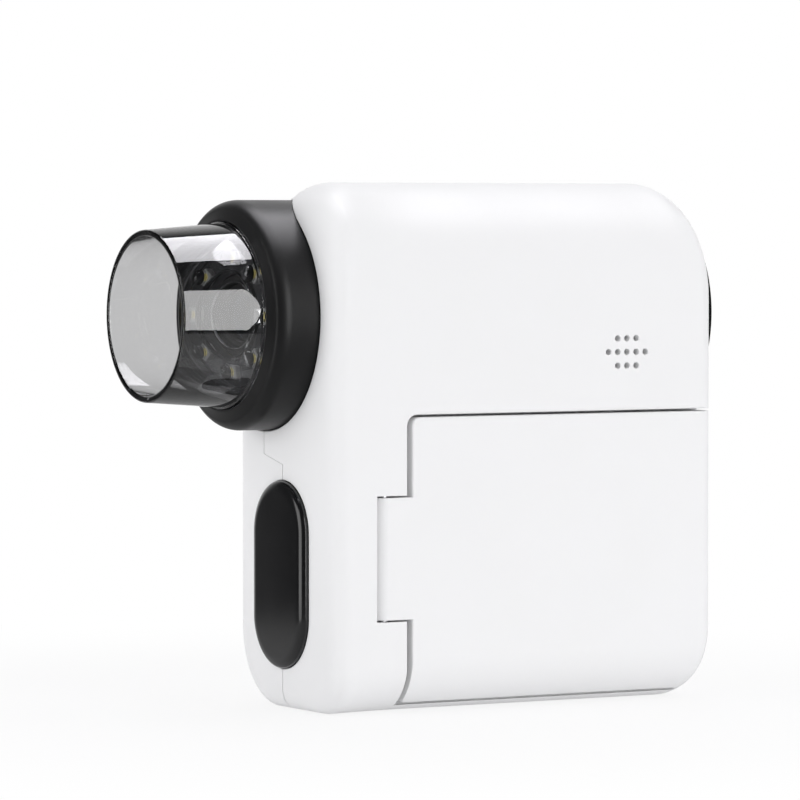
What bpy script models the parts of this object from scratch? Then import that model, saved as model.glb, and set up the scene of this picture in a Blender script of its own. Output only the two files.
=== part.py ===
"""Handheld digital microscope: a palm-sized housing, a focus ring, a clear light tube and a fold-out screen.

Units are metres, +Z is up and the lens looks along -X. Pieces are modelled in the datum frame, whose
origin lies where the front plane of the housing meets the lens plane, on the surface it stands on:
x runs back from the front plane, y runs from the screen side (negative) to the palm side (positive).
"""

import math

import bmesh
import bpy
from mathutils import Matrix, Vector

# Housing, outside
HOUSING_LENGTH = 0.0712
HOUSING_HEIGHT = 0.0840
SCREEN_SIDE = 0.0230
PALM_SIDE = 0.0215
LENS_DROP = 0.0212
TOP_SCREEN_RADIUS = 0.0165
TOP_PALM_RADIUS = 0.0220
BOTTOM_SCREEN_RADIUS = 0.0090
BOTTOM_PALM_RADIUS = 0.0160
FRONT_SCREEN_RADIUS = 0.0036
FRONT_PALM_RADIUS = 0.0190
FRONT_TOP_RADIUS = 0.0085
FRONT_BOTTOM_RADIUS = 0.0030
REAR_SCREEN_RADIUS = 0.0028
REAR_PALM_RADIUS = 0.0100
REAR_TOP_RADIUS = 0.0050
REAR_BOTTOM_RADIUS = 0.0065
LARGEST_CORNERS_SHARE = 0.98

# Housing, walls and seams
WALL = 0.0018
INNER_WALL = 0.0016
SEAT_GAP = 0.0003
FINE_GAP = 0.00015
OVERRUN = 0.0020
SEAM_DROP = 0.0222
SEAM_SLOPE = 0.0015
SEAM_OFFSET = 0.0062

# Focus ring and the carrier it turns on
RING_RADIUS = 0.0184
RING_REACH = 0.0079
RING_DEPTH = 0.0125
RING_NOSE_LENGTH = 0.0024
RING_NOSE_DROP = 0.0016
RING_FACE_LEAN = 0.0008
RING_WALL = 0.0022
RING_LIP = 0.0014
RING_MOUTH_RADIUS = 0.0150
SNAP_HEIGHT = 0.0005
SNAP_WIDTH = 0.0012
SNAP_PLACE = 0.0006
CARRIER_WALL = 0.0016
CARRIER_NECK_RADIUS = 0.0117
CARRIER_FLANGE_RADIUS = 0.0140
CARRIER_FLANGE = 0.0015
CARRIER_WEB = 0.0020
BULKHEAD = 0.0015
GUIDE_WALL = 0.0012

# Clear light tube
TUBE_REACH = 0.0214
TUBE_RIM_RADIUS = 0.01367
TUBE_ROOT_RADIUS = 0.0147
TUBE_WALL = 0.00105
TUBE_FLANGE_RADIUS = 0.0158
TUBE_FLANGE = 0.0007
TUBE_RIM_ROUND = 0.0003

# Lights behind the tube
LED_COUNT = 8
LED_CIRCLE_RADIUS = 0.0094
LED_DEPTH = 0.0049
LED_THICKNESS = 0.0008
LED_LENGTH = 0.0030
LED_WIDTH = 0.0026
BOARD_THICKNESS = 0.0010
LED_LEDGE = 0.0012
LED_LEDGE_WIDTH = 0.0028
COVER_PLATE = 0.0008
COVER_RADIUS = 0.0128
COVER_SKIRT = 0.0009
DOME_RADIUS = 0.00138
DOME_HEIGHT = 0.0008

# Moving lens cell
CELL_RADIUS = 0.0066
CELL_FRONT = 0.0044
CELL_REAR = 0.0110
CELL_WALL = 0.0012
CELL_STOP_RADIUS = 0.0043
CELL_REAR_APERTURE = 0.0034
CELL_REAR_LIP = 0.0014
CELL_TRAVEL = 0.0020
FRONT_LENS_THICKNESS = 0.0026
FRONT_LENS_SEAT = 0.0005
REAR_LENS_THICKNESS = 0.0016
LENS_BULGE = 0.0006
RETAINER_THICKNESS = 0.0007
RETAINER_WALL = 0.0008
CAM_PIN_RADIUS = 0.0007
CAM_PIN_PLACE = 0.0050
CAM_PIN_END_RADIUS = 0.0170
CAM_HALF_TURN = math.radians(60)

# Image sensor behind the lens
HOLDER_RADIUS = 0.0090
HOLDER_WALL = 0.0015
HOLDER_LENGTH = 0.0106
FILTER_THICKNESS = 0.0005
FILTER_SIZE = 0.0086
FILTER_PLACE = 0.0060
SENSOR_SIZE = 0.0070
SENSOR_THICKNESS = 0.0008
SENSOR_BOARD_SIZE = 0.0190

# Fold-out screen
SCREEN_FRONT = 0.01425
SCREEN_DROP = 0.0159
SCREEN_BOTTOM = 0.0015
SCREEN_THICKNESS = 0.0052
SCREEN_SHELL = 0.0015
SCREEN_RIM = 0.0023
SCREEN_REAR_RIM = 0.00405
SCREEN_CHIN = 0.0065
SCREEN_CORNER = 0.0014
SCREEN_SMALL_CORNER = 0.0007
SCREEN_SEAM = 0.0004
SWING_GAP = 0.0009
DISPLAY_THICKNESS = 0.0018
WINDOW_SIDE_RIM = 0.0045
WINDOW_RIM = 0.0026
WINDOW_CORNER = 0.0009
WINDOW_THICKNESS = 0.0007
FRAME_THICKNESS = 0.0012
HINGE_RADIUS = 0.0020
HINGE_FRONT = 0.0081
HINGE_BOTTOM = 0.0150
HINGE_DROP = 0.0126
HINGE_PIN_RADIUS = 0.00075
HINGE_PIN_TAIL = 0.0045
HINGE_BLOCK = 0.0018

# Rear fascia and its keys
FASCIA_RADIUS = 0.0182
FASCIA_PROUD = 0.0022
FASCIA_SEAT = 0.0035
FASCIA_ROUND = 0.0009
FASCIA_LEDGE = 0.0026
KEY_PROUD = 0.0004
KEY_TRAVEL = 0.0004
KEY_FLANGE = 0.0006
KEY_FLANGE_THICKNESS = 0.0010
SHUTTER_RADIUS = 0.0052
KEY_INNER_RADIUS = 0.0076
KEY_OUTER_RADIUS = 0.0138
KEY_HALF_ANGLE = math.radians(30)
KEY_COUNT = 4
MEMBRANE_THICKNESS = 0.0010
KEY_BOARD_THICKNESS = 0.0012

# Boards, battery, speaker and sockets inside
MAIN_BOARD_PLACE = 0.0030
MAIN_BOARD_THICKNESS = 0.0012
MAIN_BOARD_CLEARANCE = 0.0012
MAIN_BOARD_BOTTOM = 0.0050
MAIN_BOARD_SHOULDER_DROP = 0.0158
MAIN_BOARD_TOP_DROP = 0.0100
PROCESSOR_SIZE = 0.0120
PROCESSOR_THICKNESS = 0.0011
PROCESSOR_INSET = 0.0262
PROCESSOR_HEIGHT = 0.0300
BATTERY_CLEARANCE = 0.0017
BATTERY_DROP = 0.0040
BATTERY_THICKNESS = 0.0080
BATTERY_BOTTOM = 0.0090
SPEAKER_RADIUS = 0.0075
SPEAKER_THICKNESS = 0.0030
SPEAKER_SPACE_SHARE = 0.379
SPEAKER_RISE = 0.0098
SPEAKER_RIB = 0.0010
SPEAKER_RIB_HEIGHT = 0.0022
HOLE_RADIUS = 0.0005
HOLE_STEP = 0.00175
HOLE_ROW_STEP = 0.0022
HOLE_ROWS = (3, 5, 3)
USB_WIDTH = 0.0089
USB_THICKNESS = 0.0032
USB_DEPTH = 0.0073
USB_SHELL = 0.0003
USB_TONGUE = 0.0007
USB_TONGUE_WIDTH = 0.0064
USB_SPACE_SHARE = 0.3
CARD_WIDTH = 0.0140
CARD_THICKNESS = 0.0018
CARD_DEPTH = 0.0140
CARD_SLOT = 0.0110
CARD_SLOT_THICKNESS = 0.0009
CARD_DROP = 0.0016

# Plaque on the front
PLAQUE_WIDTH = 0.0169
PLAQUE_PROUD = 0.0013
PLAQUE_BEVEL = 0.0018
PLAQUE_SEAT = 0.0008
PLAQUE_OFFSET = 0.0063
PLAQUE_BOTTOM = 0.00665
PLAQUE_DROP = 0.00785
PLAQUE_STRAIGHT_SHARE = 0.25

# Screws that join the two shells
SCREW_FRONT = 0.0200
SCREW_REAR_INSET = 0.0112
SCREW_SPACE_SHARE = 0.556
SCREW_BOTTOM = 0.0100
SCREW_UPPER_DROP = 0.0223
SCREW_TOP_DROP = 0.0058
SCREW_RADIUS = 0.0011
SCREW_HEAD_RADIUS = 0.0021
SCREW_HEAD_THICKNESS = 0.0015
SCREW_DEPTH = 0.0120
SCREW_HEAD_PLACE = 0.0080
SCREW_SLOT_RADIUS = 0.0009
SCREW_SLOT_DEPTH = 0.0008
POST_WALL = 0.0009

# Smoothness of round work
ROUND_SEGMENTS = 44
FINE_SEGMENTS = 24
SMALL_SEGMENTS = 12
HOLE_SEGMENTS = 10
KNUCKLE_SEGMENTS = 23
POST_SEGMENTS = 14
CORNER_STEPS = 6
INNER_CORNER_STEPS = 4
END_STEPS = 6
BEVEL_STEPS = 3
GROOVE_STEPS = 16
FACET_LENGTH = 0.0004

# Sizes and places that follow from the sizes above
FRONT_PLACE = (TUBE_REACH - HOUSING_LENGTH - FASCIA_PROUD - KEY_PROUD) / 2
LENS_PLANE = (SCREEN_SIDE - PALM_SIDE) / 2
LENS_HEIGHT = HOUSING_HEIGHT - LENS_DROP
SEAM_TOP = LENS_HEIGHT - SEAM_DROP
SEAM_BOTTOM = SEAM_TOP - SEAM_SLOPE
RING_BORE = RING_RADIUS - RING_WALL
CARRIER_RADIUS = RING_BORE - SEAT_GAP
CARRIER_FRONT = RING_REACH - RING_LIP - 2 * SEAT_GAP - TUBE_FLANGE
CARRIER_BORE = CARRIER_RADIUS - CARRIER_WALL
BORE_RADIUS = RING_RADIUS + SEAT_GAP
BORE_DEPTH = RING_DEPTH + SEAT_GAP
BULKHEAD_REAR = BORE_DEPTH + BULKHEAD
GUIDE_BORE = CELL_RADIUS + SEAT_GAP
CARRIER_REAR = BULKHEAD_REAR + SEAT_GAP + CARRIER_FLANGE
LED_BOARD_FRONT = LED_DEPTH - LED_THICKNESS - FINE_GAP
LED_BOARD_REAR = LED_BOARD_FRONT - BOARD_THICKNESS
HOLDER_FRONT = CARRIER_REAR + SEAT_GAP
HOLDER_REAR = HOLDER_FRONT + HOLDER_LENGTH
POCKET_FLOOR = SCREEN_SIDE - SCREEN_THICKNESS - SEAT_GAP
SCREEN_TOP = LENS_HEIGHT - SCREEN_DROP
HINGE_PLACE = HINGE_FRONT + HINGE_RADIUS
HINGE_DEPTH = SCREEN_SIDE - HINGE_RADIUS
HINGE_TOP = SCREEN_TOP - HINGE_DROP
REAR_RECESS = HOUSING_LENGTH - FASCIA_SEAT - SEAT_GAP
REAR_WALL_INSIDE = REAR_RECESS - INNER_WALL
SCREEN_CELL_FRONT = SCREEN_FRONT + SCREEN_RIM
SCREEN_CELL_REAR = HOUSING_LENGTH - SCREEN_REAR_RIM
SCREEN_CELL_TOP = SCREEN_TOP - SCREEN_RIM
SCREEN_CELL_BOTTOM = SCREEN_BOTTOM + SCREEN_CHIN
DISPLAY_LENGTH = SCREEN_CELL_REAR - SCREEN_CELL_FRONT - 2 * SEAT_GAP
DISPLAY_HEIGHT = SCREEN_CELL_TOP - SCREEN_CELL_BOTTOM - 2 * SEAT_GAP
WINDOW_LENGTH = DISPLAY_LENGTH - 2 * WINDOW_SIDE_RIM
WINDOW_HEIGHT = DISPLAY_HEIGHT - 2 * WINDOW_RIM
SCREEN_INNER_FACE = SCREEN_SIDE - SCREEN_THICKNESS
KEY_REAR = HOUSING_LENGTH + FASCIA_PROUD + KEY_PROUD
KEY_FLANGE_REAR = HOUSING_LENGTH - FASCIA_SEAT - SEAT_GAP
KEY_FRONT = KEY_FLANGE_REAR - KEY_FLANGE_THICKNESS
MEMBRANE_REAR = KEY_FRONT - KEY_TRAVEL - FINE_GAP
KEY_BOARD_REAR = MEMBRANE_REAR - MEMBRANE_THICKNESS - SEAT_GAP
SENSOR_BOARD_REAR = HOLDER_REAR + SEAT_GAP + BOARD_THICKNESS
POST_RADIUS = SCREW_HEAD_RADIUS + SEAT_GAP + POST_WALL
SPEAKER_RIB_RADIUS = SPEAKER_RADIUS + SEAT_GAP + SPEAKER_RIB
SPACE_BEHIND_SENSOR = HOUSING_LENGTH - WALL - SENSOR_BOARD_REAR - 2 * POST_RADIUS - 2 * SPEAKER_RIB_RADIUS
SPEAKER_PLACE = HOUSING_LENGTH - WALL - SPACE_BEHIND_SENSOR * SPEAKER_SPACE_SHARE - SPEAKER_RIB_RADIUS
SPEAKER_HEIGHT = SCREEN_TOP + SPEAKER_RISE
SCREW_REAR = HOUSING_LENGTH - SCREW_REAR_INSET
SCREW_MIDDLE = SENSOR_BOARD_REAR + SPACE_BEHIND_SENSOR * SCREW_SPACE_SHARE + POST_RADIUS
SCREW_UPPER = LENS_HEIGHT - SCREW_UPPER_DROP
SCREW_TOP = LENS_HEIGHT - SCREW_TOP_DROP
SCREW_PLACES = (
    (SCREW_FRONT, SCREW_BOTTOM), (SCREW_REAR, SCREW_BOTTOM),
    (SCREW_FRONT, SCREW_UPPER), (SCREW_MIDDLE, SCREW_TOP),
)
MAIN_BOARD_FRONT = SCREW_FRONT + POST_RADIUS + MAIN_BOARD_CLEARANCE
MAIN_BOARD_STEP = SCREW_MIDDLE - POST_RADIUS - MAIN_BOARD_CLEARANCE
MAIN_BOARD_SHOULDER = LENS_HEIGHT - MAIN_BOARD_SHOULDER_DROP
MAIN_BOARD_TOP = HOUSING_HEIGHT - MAIN_BOARD_TOP_DROP
MAIN_BOARD_REAR_BOTTOM = LENS_HEIGHT - FASCIA_RADIUS
BATTERY_FRONT = SCREW_FRONT + POST_RADIUS + BATTERY_CLEARANCE
BATTERY_REAR = SCREW_REAR - POST_RADIUS - BATTERY_CLEARANCE
BATTERY_TOP = MAIN_BOARD_SHOULDER - BATTERY_DROP
PROCESSOR_PLACE = HOUSING_LENGTH - PROCESSOR_INSET
CARD_BOTTOM = MAIN_BOARD_REAR_BOTTOM - CARD_DROP - CARD_WIDTH
CARD_HEIGHT = CARD_BOTTOM + CARD_WIDTH / 2
USB_SPACE = CARD_BOTTOM - MAIN_BOARD_BOTTOM - USB_WIDTH
USB_HEIGHT = CARD_BOTTOM - USB_SPACE * USB_SPACE_SHARE - USB_WIDTH / 2
PLAQUE_HEIGHT = LENS_HEIGHT - RING_RADIUS - PLAQUE_DROP - PLAQUE_BOTTOM
PLAQUE_PLACE = PLAQUE_BOTTOM + PLAQUE_HEIGHT / 2


# Materials

def material(name, colour, roughness, metallic=0.0, transmission=0.0, coat=0.0):
    """A Principled material with the colour, roughness and metallic value of one finish."""
    made = bpy.data.materials.new(name)
    made.use_nodes = True
    made.diffuse_color = (*colour, 1.0)
    shader = made.node_tree.nodes["Principled BSDF"]
    shader.inputs["Base Color"].default_value = (*colour, 1.0)
    shader.inputs["Roughness"].default_value = roughness
    shader.inputs["Metallic"].default_value = metallic
    shader.inputs["Transmission Weight"].default_value = transmission
    shader.inputs["Coat Weight"].default_value = coat
    return made


# Mesh building

def new_object(name, mesh_builder, finish, smooth_angle=math.radians(35)):
    """An object from a finished bmesh, shaded smooth except at its sharp edges."""
    mesh = bpy.data.meshes.new(name)
    mesh_builder.normal_update()
    bmesh.ops.recalc_face_normals(mesh_builder, faces=mesh_builder.faces)
    mesh_builder.to_mesh(mesh)
    mesh_builder.free()
    mesh.shade_smooth()
    mesh.set_sharp_from_angle(angle=smooth_angle)
    if finish:
        mesh.materials.append(finish)
    made = bpy.data.objects.new(name, mesh)
    bpy.context.scene.collection.objects.link(made)
    return made


def copy_object(source, name):
    """A second object with its own copy of the mesh."""
    made = bpy.data.objects.new(name, source.data.copy())
    bpy.context.scene.collection.objects.link(made)
    return made


def combine(target, tool, operation):
    """Joins, cuts or intersects target with tool, and removes the tool."""
    modifier = target.modifiers.new(operation.lower(), "BOOLEAN")
    modifier.operation = operation
    modifier.solver = "EXACT"
    modifier.object = tool
    view = bpy.context.evaluated_depsgraph_get()
    finished = bpy.data.meshes.new_from_object(target.evaluated_get(view))
    target.modifiers.remove(modifier)
    old = target.data
    target.data = finished
    finished.name = target.name
    bpy.data.meshes.remove(old)
    bpy.data.objects.remove(tool)
    return target


def cut(target, *tools):
    """Takes each tool's space out of the target."""
    for tool in tools:
        combine(target, tool, "DIFFERENCE")
    return target


def join(target, *tools):
    """Fuses each tool with the target."""
    for tool in tools:
        combine(target, tool, "UNION")
    return target


def loft(name, rings, finish=None, closed=False):
    """A skin over rings of points, capped at both ends or joined round into a tube."""
    builder = bmesh.new()
    rows = [[builder.verts.new(point) for point in ring] for ring in rings]
    count = len(rows[0])
    pairs = list(zip(rows, rows[1:]))
    if closed:
        pairs.append((rows[-1], rows[0]))
    for first, second in pairs:
        for index in range(count):
            following = (index + 1) % count
            builder.faces.new((first[index], first[following], second[following], second[index]))
    if not closed:
        builder.faces.new(rows[0])
        builder.faces.new(rows[-1])
    return new_object(name, builder, finish)


def turned(name, profile, finish=None, segments=ROUND_SEGMENTS):
    """A closed (x, radius) profile turned about the lens axis: a disc where it meets the axis, or a ring."""
    solid = profile[0][1] == 0 and profile[-1][1] == 0
    builder = bmesh.new()
    body = profile[1:-1] if solid else profile
    rows = []
    for index in range(segments):
        angle = 2 * math.pi * (index + 0.5) / segments
        direction = Vector((0, math.cos(angle), math.sin(angle)))
        axis = Vector((0, 0, LENS_HEIGHT))
        rows.append([builder.verts.new(axis + Vector((x, 0, 0)) + radius * direction) for x, radius in body])
    poles = [builder.verts.new((profile[end][0], 0, LENS_HEIGHT)) for end in (0, -1)] if solid else []
    for index, row in enumerate(rows):
        following = rows[(index + 1) % segments]
        steps = range(len(body) - 1) if solid else range(-1, len(body) - 1)
        for step in steps:
            builder.faces.new((row[step], row[step + 1], following[step + 1], following[step]))
        if solid:
            builder.faces.new((poles[0], row[0], following[0]))
            builder.faces.new((poles[1], following[-1], row[-1]))
    return new_object(name, builder, finish)


def rod(name, centre, direction, length, radius, finish=None, segments=FINE_SEGMENTS):
    """A cylinder that starts at centre and runs the given length along a direction."""
    builder = bmesh.new()
    bmesh.ops.create_cone(
        builder, cap_ends=True, segments=segments, radius1=radius, radius2=radius, depth=length)
    along = Vector(direction).normalized()
    turn = along.to_track_quat("Z", "Y").to_matrix().to_4x4()
    middle = Vector(centre) + along * length / 2
    builder.transform(Matrix.Translation(middle) @ turn)
    return new_object(name, builder, finish)


def block(name, low, high, finish=None, bevel=0.0, bevel_steps=1):
    """A box between two corners, with its edges bevelled where a bevel is given."""
    builder = bmesh.new()
    size = Vector(high) - Vector(low)
    bmesh.ops.create_cube(builder, size=1)
    builder.transform(Matrix.Translation((Vector(high) + Vector(low)) / 2) @ Matrix.Diagonal((*size, 1)))
    if bevel:
        bmesh.ops.bevel(builder, geom=list(builder.edges), offset=bevel, segments=bevel_steps, affect="EDGES")
    return new_object(name, builder, finish)


def slab(name, outline, axis, low, high, finish=None, top_outline=None):
    """An outline extruded along an axis between two planes, tapering to a second outline if one is given."""
    lift = {
        "x": lambda point, plane: (plane, point[0], point[1]),
        "y": lambda point, plane: (point[0], plane, point[1]),
        "z": lambda point, plane: (point[0], point[1], plane),
    }[axis]
    first = [lift(point, low) for point in outline]
    last = [lift(point, high) for point in (top_outline or outline)]
    return loft(name, [first, last], finish)


def rounded_outline(centre, width, height, radii, steps=6):
    """Points round a rectangle with round corners, with one radius for all of them or one for each.

    Four radii run from the corner that is furthest along both directions, round by the one at its left.
    """
    points = []
    sides = ((1, 1, 0), (-1, 1, 90), (-1, -1, 180), (1, -1, 270))
    each = radii if isinstance(radii, tuple) else (radii,) * len(sides)
    for (side_a, side_b, start), radius in zip(sides, each):
        corner = (centre[0] + side_a * (width / 2 - radius), centre[1] + side_b * (height / 2 - radius))
        for step in range(steps + 1):
            angle = math.radians(start + 90 * step / steps)
            point = (corner[0] + radius * math.cos(angle), corner[1] + radius * math.sin(angle))
            if not points or math.dist(point, points[-1]) > FINE_GAP / 2:
                points.append(point)
    if math.dist(points[0], points[-1]) < FINE_GAP / 2:
        points.pop()
    return points


def sector_outline(inner, outer, middle, half_angle, steps=8):
    """Points round a sector of a ring about the lens axis, in the plane across it."""
    arc = [middle - half_angle + 2 * half_angle * step / steps for step in range(steps + 1)]
    outside = [(outer * math.cos(angle), LENS_HEIGHT + outer * math.sin(angle)) for angle in arc]
    inside = [(inner * math.cos(angle), LENS_HEIGHT + inner * math.sin(angle)) for angle in reversed(arc)]
    return outside + inside


def axis_empty(name, place, datum):
    """An empty on a joint's axis, which the moving pieces hang from."""
    empty = bpy.data.objects.new(name, None)
    empty.empty_display_size = RING_RADIUS
    empty.location = place
    empty.parent = datum
    bpy.context.scene.collection.objects.link(empty)
    return empty


def hang(piece, empty):
    """Parents a piece to an empty, with the piece's origin at that empty."""
    piece.data.transform(Matrix.Translation(-Vector(empty.location)))
    piece.parent = empty
    return piece


# The housing's moulded form

def end_inset(radius, depth):
    """How far a rounded end lies inside its full size, at a depth behind the plane it starts from."""
    depth = min(max(depth, 0), radius)
    return radius - math.sqrt(max(radius ** 2 - (radius - depth) ** 2, 0))


def housing_section(x, wall, steps):
    """Points round the housing at a distance behind its front, a wall's thickness inside its surface."""
    ahead = x - wall
    behind = HOUSING_LENGTH - wall - x
    screen = -SCREEN_SIDE + wall
    screen += end_inset(FRONT_SCREEN_RADIUS - wall, ahead) + end_inset(REAR_SCREEN_RADIUS - wall, behind)
    palm = PALM_SIDE - wall
    palm -= end_inset(FRONT_PALM_RADIUS - wall, ahead) + end_inset(REAR_PALM_RADIUS - wall, behind)
    top = HOUSING_HEIGHT - wall
    top -= end_inset(FRONT_TOP_RADIUS - wall, ahead) + end_inset(REAR_TOP_RADIUS - wall, behind)
    bottom = wall
    bottom += end_inset(FRONT_BOTTOM_RADIUS - wall, ahead) + end_inset(REAR_BOTTOM_RADIUS - wall, behind)
    corners = (
        (palm, top, -1, -1, TOP_PALM_RADIUS - wall, 0),
        (screen, top, 1, -1, TOP_SCREEN_RADIUS - wall, 90),
        (screen, bottom, 1, 1, BOTTOM_SCREEN_RADIUS - wall, 180),
        (palm, bottom, -1, 1, BOTTOM_PALM_RADIUS - wall, 270),
    )
    widest = max(corners[0][4] + corners[1][4], corners[2][4] + corners[3][4])
    shrink_share = min(1, LARGEST_CORNERS_SHARE * (palm - screen) / widest)
    points = []
    for y, z, toward_y, toward_z, full_radius, start in corners:
        radius = full_radius * shrink_share
        for step in range(steps + 1):
            angle = math.radians(start + 90 * step / steps)
            across = y + toward_y * radius + radius * math.cos(angle)
            up = z + toward_z * radius + radius * math.sin(angle)
            points.append((x, across, up))
    return points


def housing_stations(wall):
    """Distances behind the front at which the form is drawn, close together where its ends are round."""
    front = (FRONT_PALM_RADIUS, FRONT_TOP_RADIUS, FRONT_SCREEN_RADIUS)
    rear = (REAR_PALM_RADIUS, REAR_BOTTOM_RADIUS, REAR_SCREEN_RADIUS)
    shares = [1 - math.cos(math.radians(90 * step / END_STEPS)) for step in range(END_STEPS + 1)]
    wanted = [wall + (radius - wall) * share for radius in front for share in shares]
    wanted += [HOUSING_LENGTH - wall - (radius - wall) * share for radius in rear for share in shares]
    stations = [wall]
    for x in sorted(wanted):
        if x - stations[-1] > FACET_LENGTH:
            stations.append(x)
    stations[-1] = HOUSING_LENGTH - wall
    return stations


def housing_form(name, wall=0.0, steps=CORNER_STEPS):
    """The housing's outside, or the surface a wall's thickness inside it, as one closed form."""
    return loft(name, [housing_section(x, wall, steps) for x in housing_stations(wall)])


def seam_side(name, side):
    """The space on one side of the seam between the shells: -1 for the screen side, 1 for the palm side."""
    gap = side * SEAT_GAP / 2
    outer = side * (SCREEN_SIDE + PALM_SIDE)
    outline = [
        (gap, HOUSING_HEIGHT + OVERRUN), (gap, SEAM_TOP), (gap - SEAM_OFFSET, SEAM_BOTTOM),
        (gap - SEAM_OFFSET, -OVERRUN), (outer, -OVERRUN), (outer, HOUSING_HEIGHT + OVERRUN),
    ]
    return slab(name, outline, "x", -OVERRUN, HOUSING_LENGTH + OVERRUN)


def seam_place(height):
    """Where the seam between the shells lies at a height."""
    return 0.0 if height > SEAM_TOP else -SEAM_OFFSET


def lens_cylinder(name, radius, front, rear, segments=ROUND_SEGMENTS):
    """A cylinder about the lens axis between two planes."""
    return rod(name, (front, 0, LENS_HEIGHT), (1, 0, 0), rear - front, radius, segments=segments)


def screen_pocket(name, margin=0.0):
    """The pocket that the closed screen fills, or the solid that keeps a wall behind it."""
    front, rear = SCREEN_FRONT - SWING_GAP - margin, HOUSING_LENGTH + OVERRUN
    low, high = SCREEN_BOTTOM - SCREEN_SEAM - margin, SCREEN_TOP + SCREEN_SEAM + margin
    corner = SCREEN_CORNER + SCREEN_SEAM + margin
    centre = ((front + rear) / 2, (low + high) / 2)
    outline = rounded_outline(centre, rear - front, high - low, (0, corner, 0, 0), BEVEL_STEPS)
    return slab(name, outline, "y", -SCREEN_SIDE - OVERRUN, margin - POCKET_FLOOR)


def hinge_block(name):
    """The thicker corner of the shell that holds the hinge pin."""
    reach = HINGE_RADIUS + SEAT_GAP + HINGE_BLOCK
    low = (HINGE_PLACE - reach, -SCREEN_SIDE - OVERRUN, HINGE_BOTTOM - HINGE_PIN_TAIL - HINGE_BLOCK)
    high = (SCREEN_FRONT, -HINGE_DEPTH + reach, HINGE_TOP + HINGE_PIN_TAIL + HINGE_BLOCK)
    return block(name, low, high)


def hinge_recess():
    """The cuts that leave room for the knuckle and hold the pin's two ends."""
    low, high = HINGE_BOTTOM - SEAT_GAP, HINGE_TOP + SEAT_GAP
    reach = HINGE_RADIUS + SEAT_GAP
    barrel = rod("barrel_room", (HINGE_PLACE, -HINGE_DEPTH, low), (0, 0, 1), high - low, reach,
                 segments=ROUND_SEGMENTS // 2)
    mouth = block(
        "mouth_room", (HINGE_PLACE - reach, -SCREEN_SIDE - OVERRUN, low), (HINGE_PLACE, -HINGE_DEPTH, high))
    web = block("web_room", (HINGE_PLACE, -SCREEN_SIDE - OVERRUN, low),
                (SCREEN_FRONT, -HINGE_DEPTH + reach, high))
    pin_low = HINGE_BOTTOM - HINGE_PIN_TAIL - SEAT_GAP
    pin_length = HINGE_TOP + HINGE_PIN_TAIL + SEAT_GAP - pin_low
    pin = rod("pin_room", (HINGE_PLACE, -HINGE_DEPTH, pin_low), (0, 0, 1), pin_length,
              HINGE_PIN_RADIUS + SEAT_GAP, segments=SMALL_SEGMENTS)
    return join(barrel, mouth, web, pin)


def speaker_holes():
    """The small round holes over the speaker, in rows."""
    cutters = []
    for row, count in enumerate(HOLE_ROWS):
        height = SPEAKER_HEIGHT + (row - (len(HOLE_ROWS) - 1) / 2) * HOLE_ROW_STEP
        for column in range(count):
            place = SPEAKER_PLACE + (column - (count - 1) / 2) * HOLE_STEP
            start = (place, -SCREEN_SIDE - OVERRUN, height)
            cutters.append(rod(f"sound_hole_{row}_{column}", start, (0, 1, 0), WALL + 2 * OVERRUN,
                               HOLE_RADIUS, segments=HOLE_SEGMENTS))
    return cutters


def make_housing():
    """The whole housing, hollow and with its openings, before it is split at the seam."""
    cavity = housing_form("cavity", WALL, INNER_CORNER_STEPS)
    cut(
        cavity,
        screen_pocket("pocket_wall", INNER_WALL),
        hinge_block("hinge_wall"),
        lens_cylinder("bore_wall", BORE_RADIUS + INNER_WALL, -OVERRUN, BULKHEAD_REAR),
        lens_cylinder("fascia_wall", FASCIA_RADIUS + SEAT_GAP + INNER_WALL, REAR_WALL_INSIDE, HOUSING_LENGTH),
    )
    housing = housing_form("housing")
    cut(
        housing,
        cavity,
        screen_pocket("pocket"),
        hinge_recess(),
        lens_cylinder("ring_bore", BORE_RADIUS, -OVERRUN, BORE_DEPTH),
        lens_cylinder("neck_bore", CARRIER_NECK_RADIUS + SEAT_GAP, 0, BULKHEAD_REAR + OVERRUN),
        lens_cylinder("fascia_bore", FASCIA_RADIUS + SEAT_GAP, REAR_RECESS, HOUSING_LENGTH + OVERRUN),
        lens_cylinder("key_bore", FASCIA_RADIUS - FASCIA_LEDGE, REAR_WALL_INSIDE - OVERRUN, HOUSING_LENGTH),
        slab("plaque_seat", plaque_outline(SEAT_GAP), "x", -OVERRUN, PLAQUE_SEAT),
        *speaker_holes(),
    )
    return housing


def screw_post(name, place, height, side):
    """The post of one shell round a screw, from the seam to its wall, cut to the housing's form."""
    seam = seam_place(height) + side * SEAT_GAP / 2
    radius = POST_RADIUS if side > 0 else SCREW_RADIUS + FINE_GAP + 2 * POST_WALL
    reach = PALM_SIDE - seam if side > 0 else SCREEN_SIDE + seam
    post = rod(name, (place, seam, height), (0, side, 0), reach, radius, segments=POST_SEGMENTS)
    trim = housing_form("post_trim", WALL / 2, INNER_CORNER_STEPS)
    combine(post, trim, "INTERSECT")
    if side < 0:
        cut(post, screen_pocket("post_pocket", INNER_WALL / 2))
    return post


def screw_room(place, height):
    """The stepped hole in the palm shell's post that takes a screw and its head."""
    head = rod("head_room", (place, SCREW_HEAD_PLACE - SEAT_GAP, height), (0, 1, 0), PALM_SIDE,
               SCREW_HEAD_RADIUS + SEAT_GAP, segments=POST_SEGMENTS)
    shank = rod("shank_room", (place, -SCREW_DEPTH, height), (0, 1, 0), SCREW_DEPTH + SCREW_HEAD_PLACE,
                SCREW_RADIUS + FINE_GAP, segments=SMALL_SEGMENTS)
    return join(head, shank)


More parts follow.
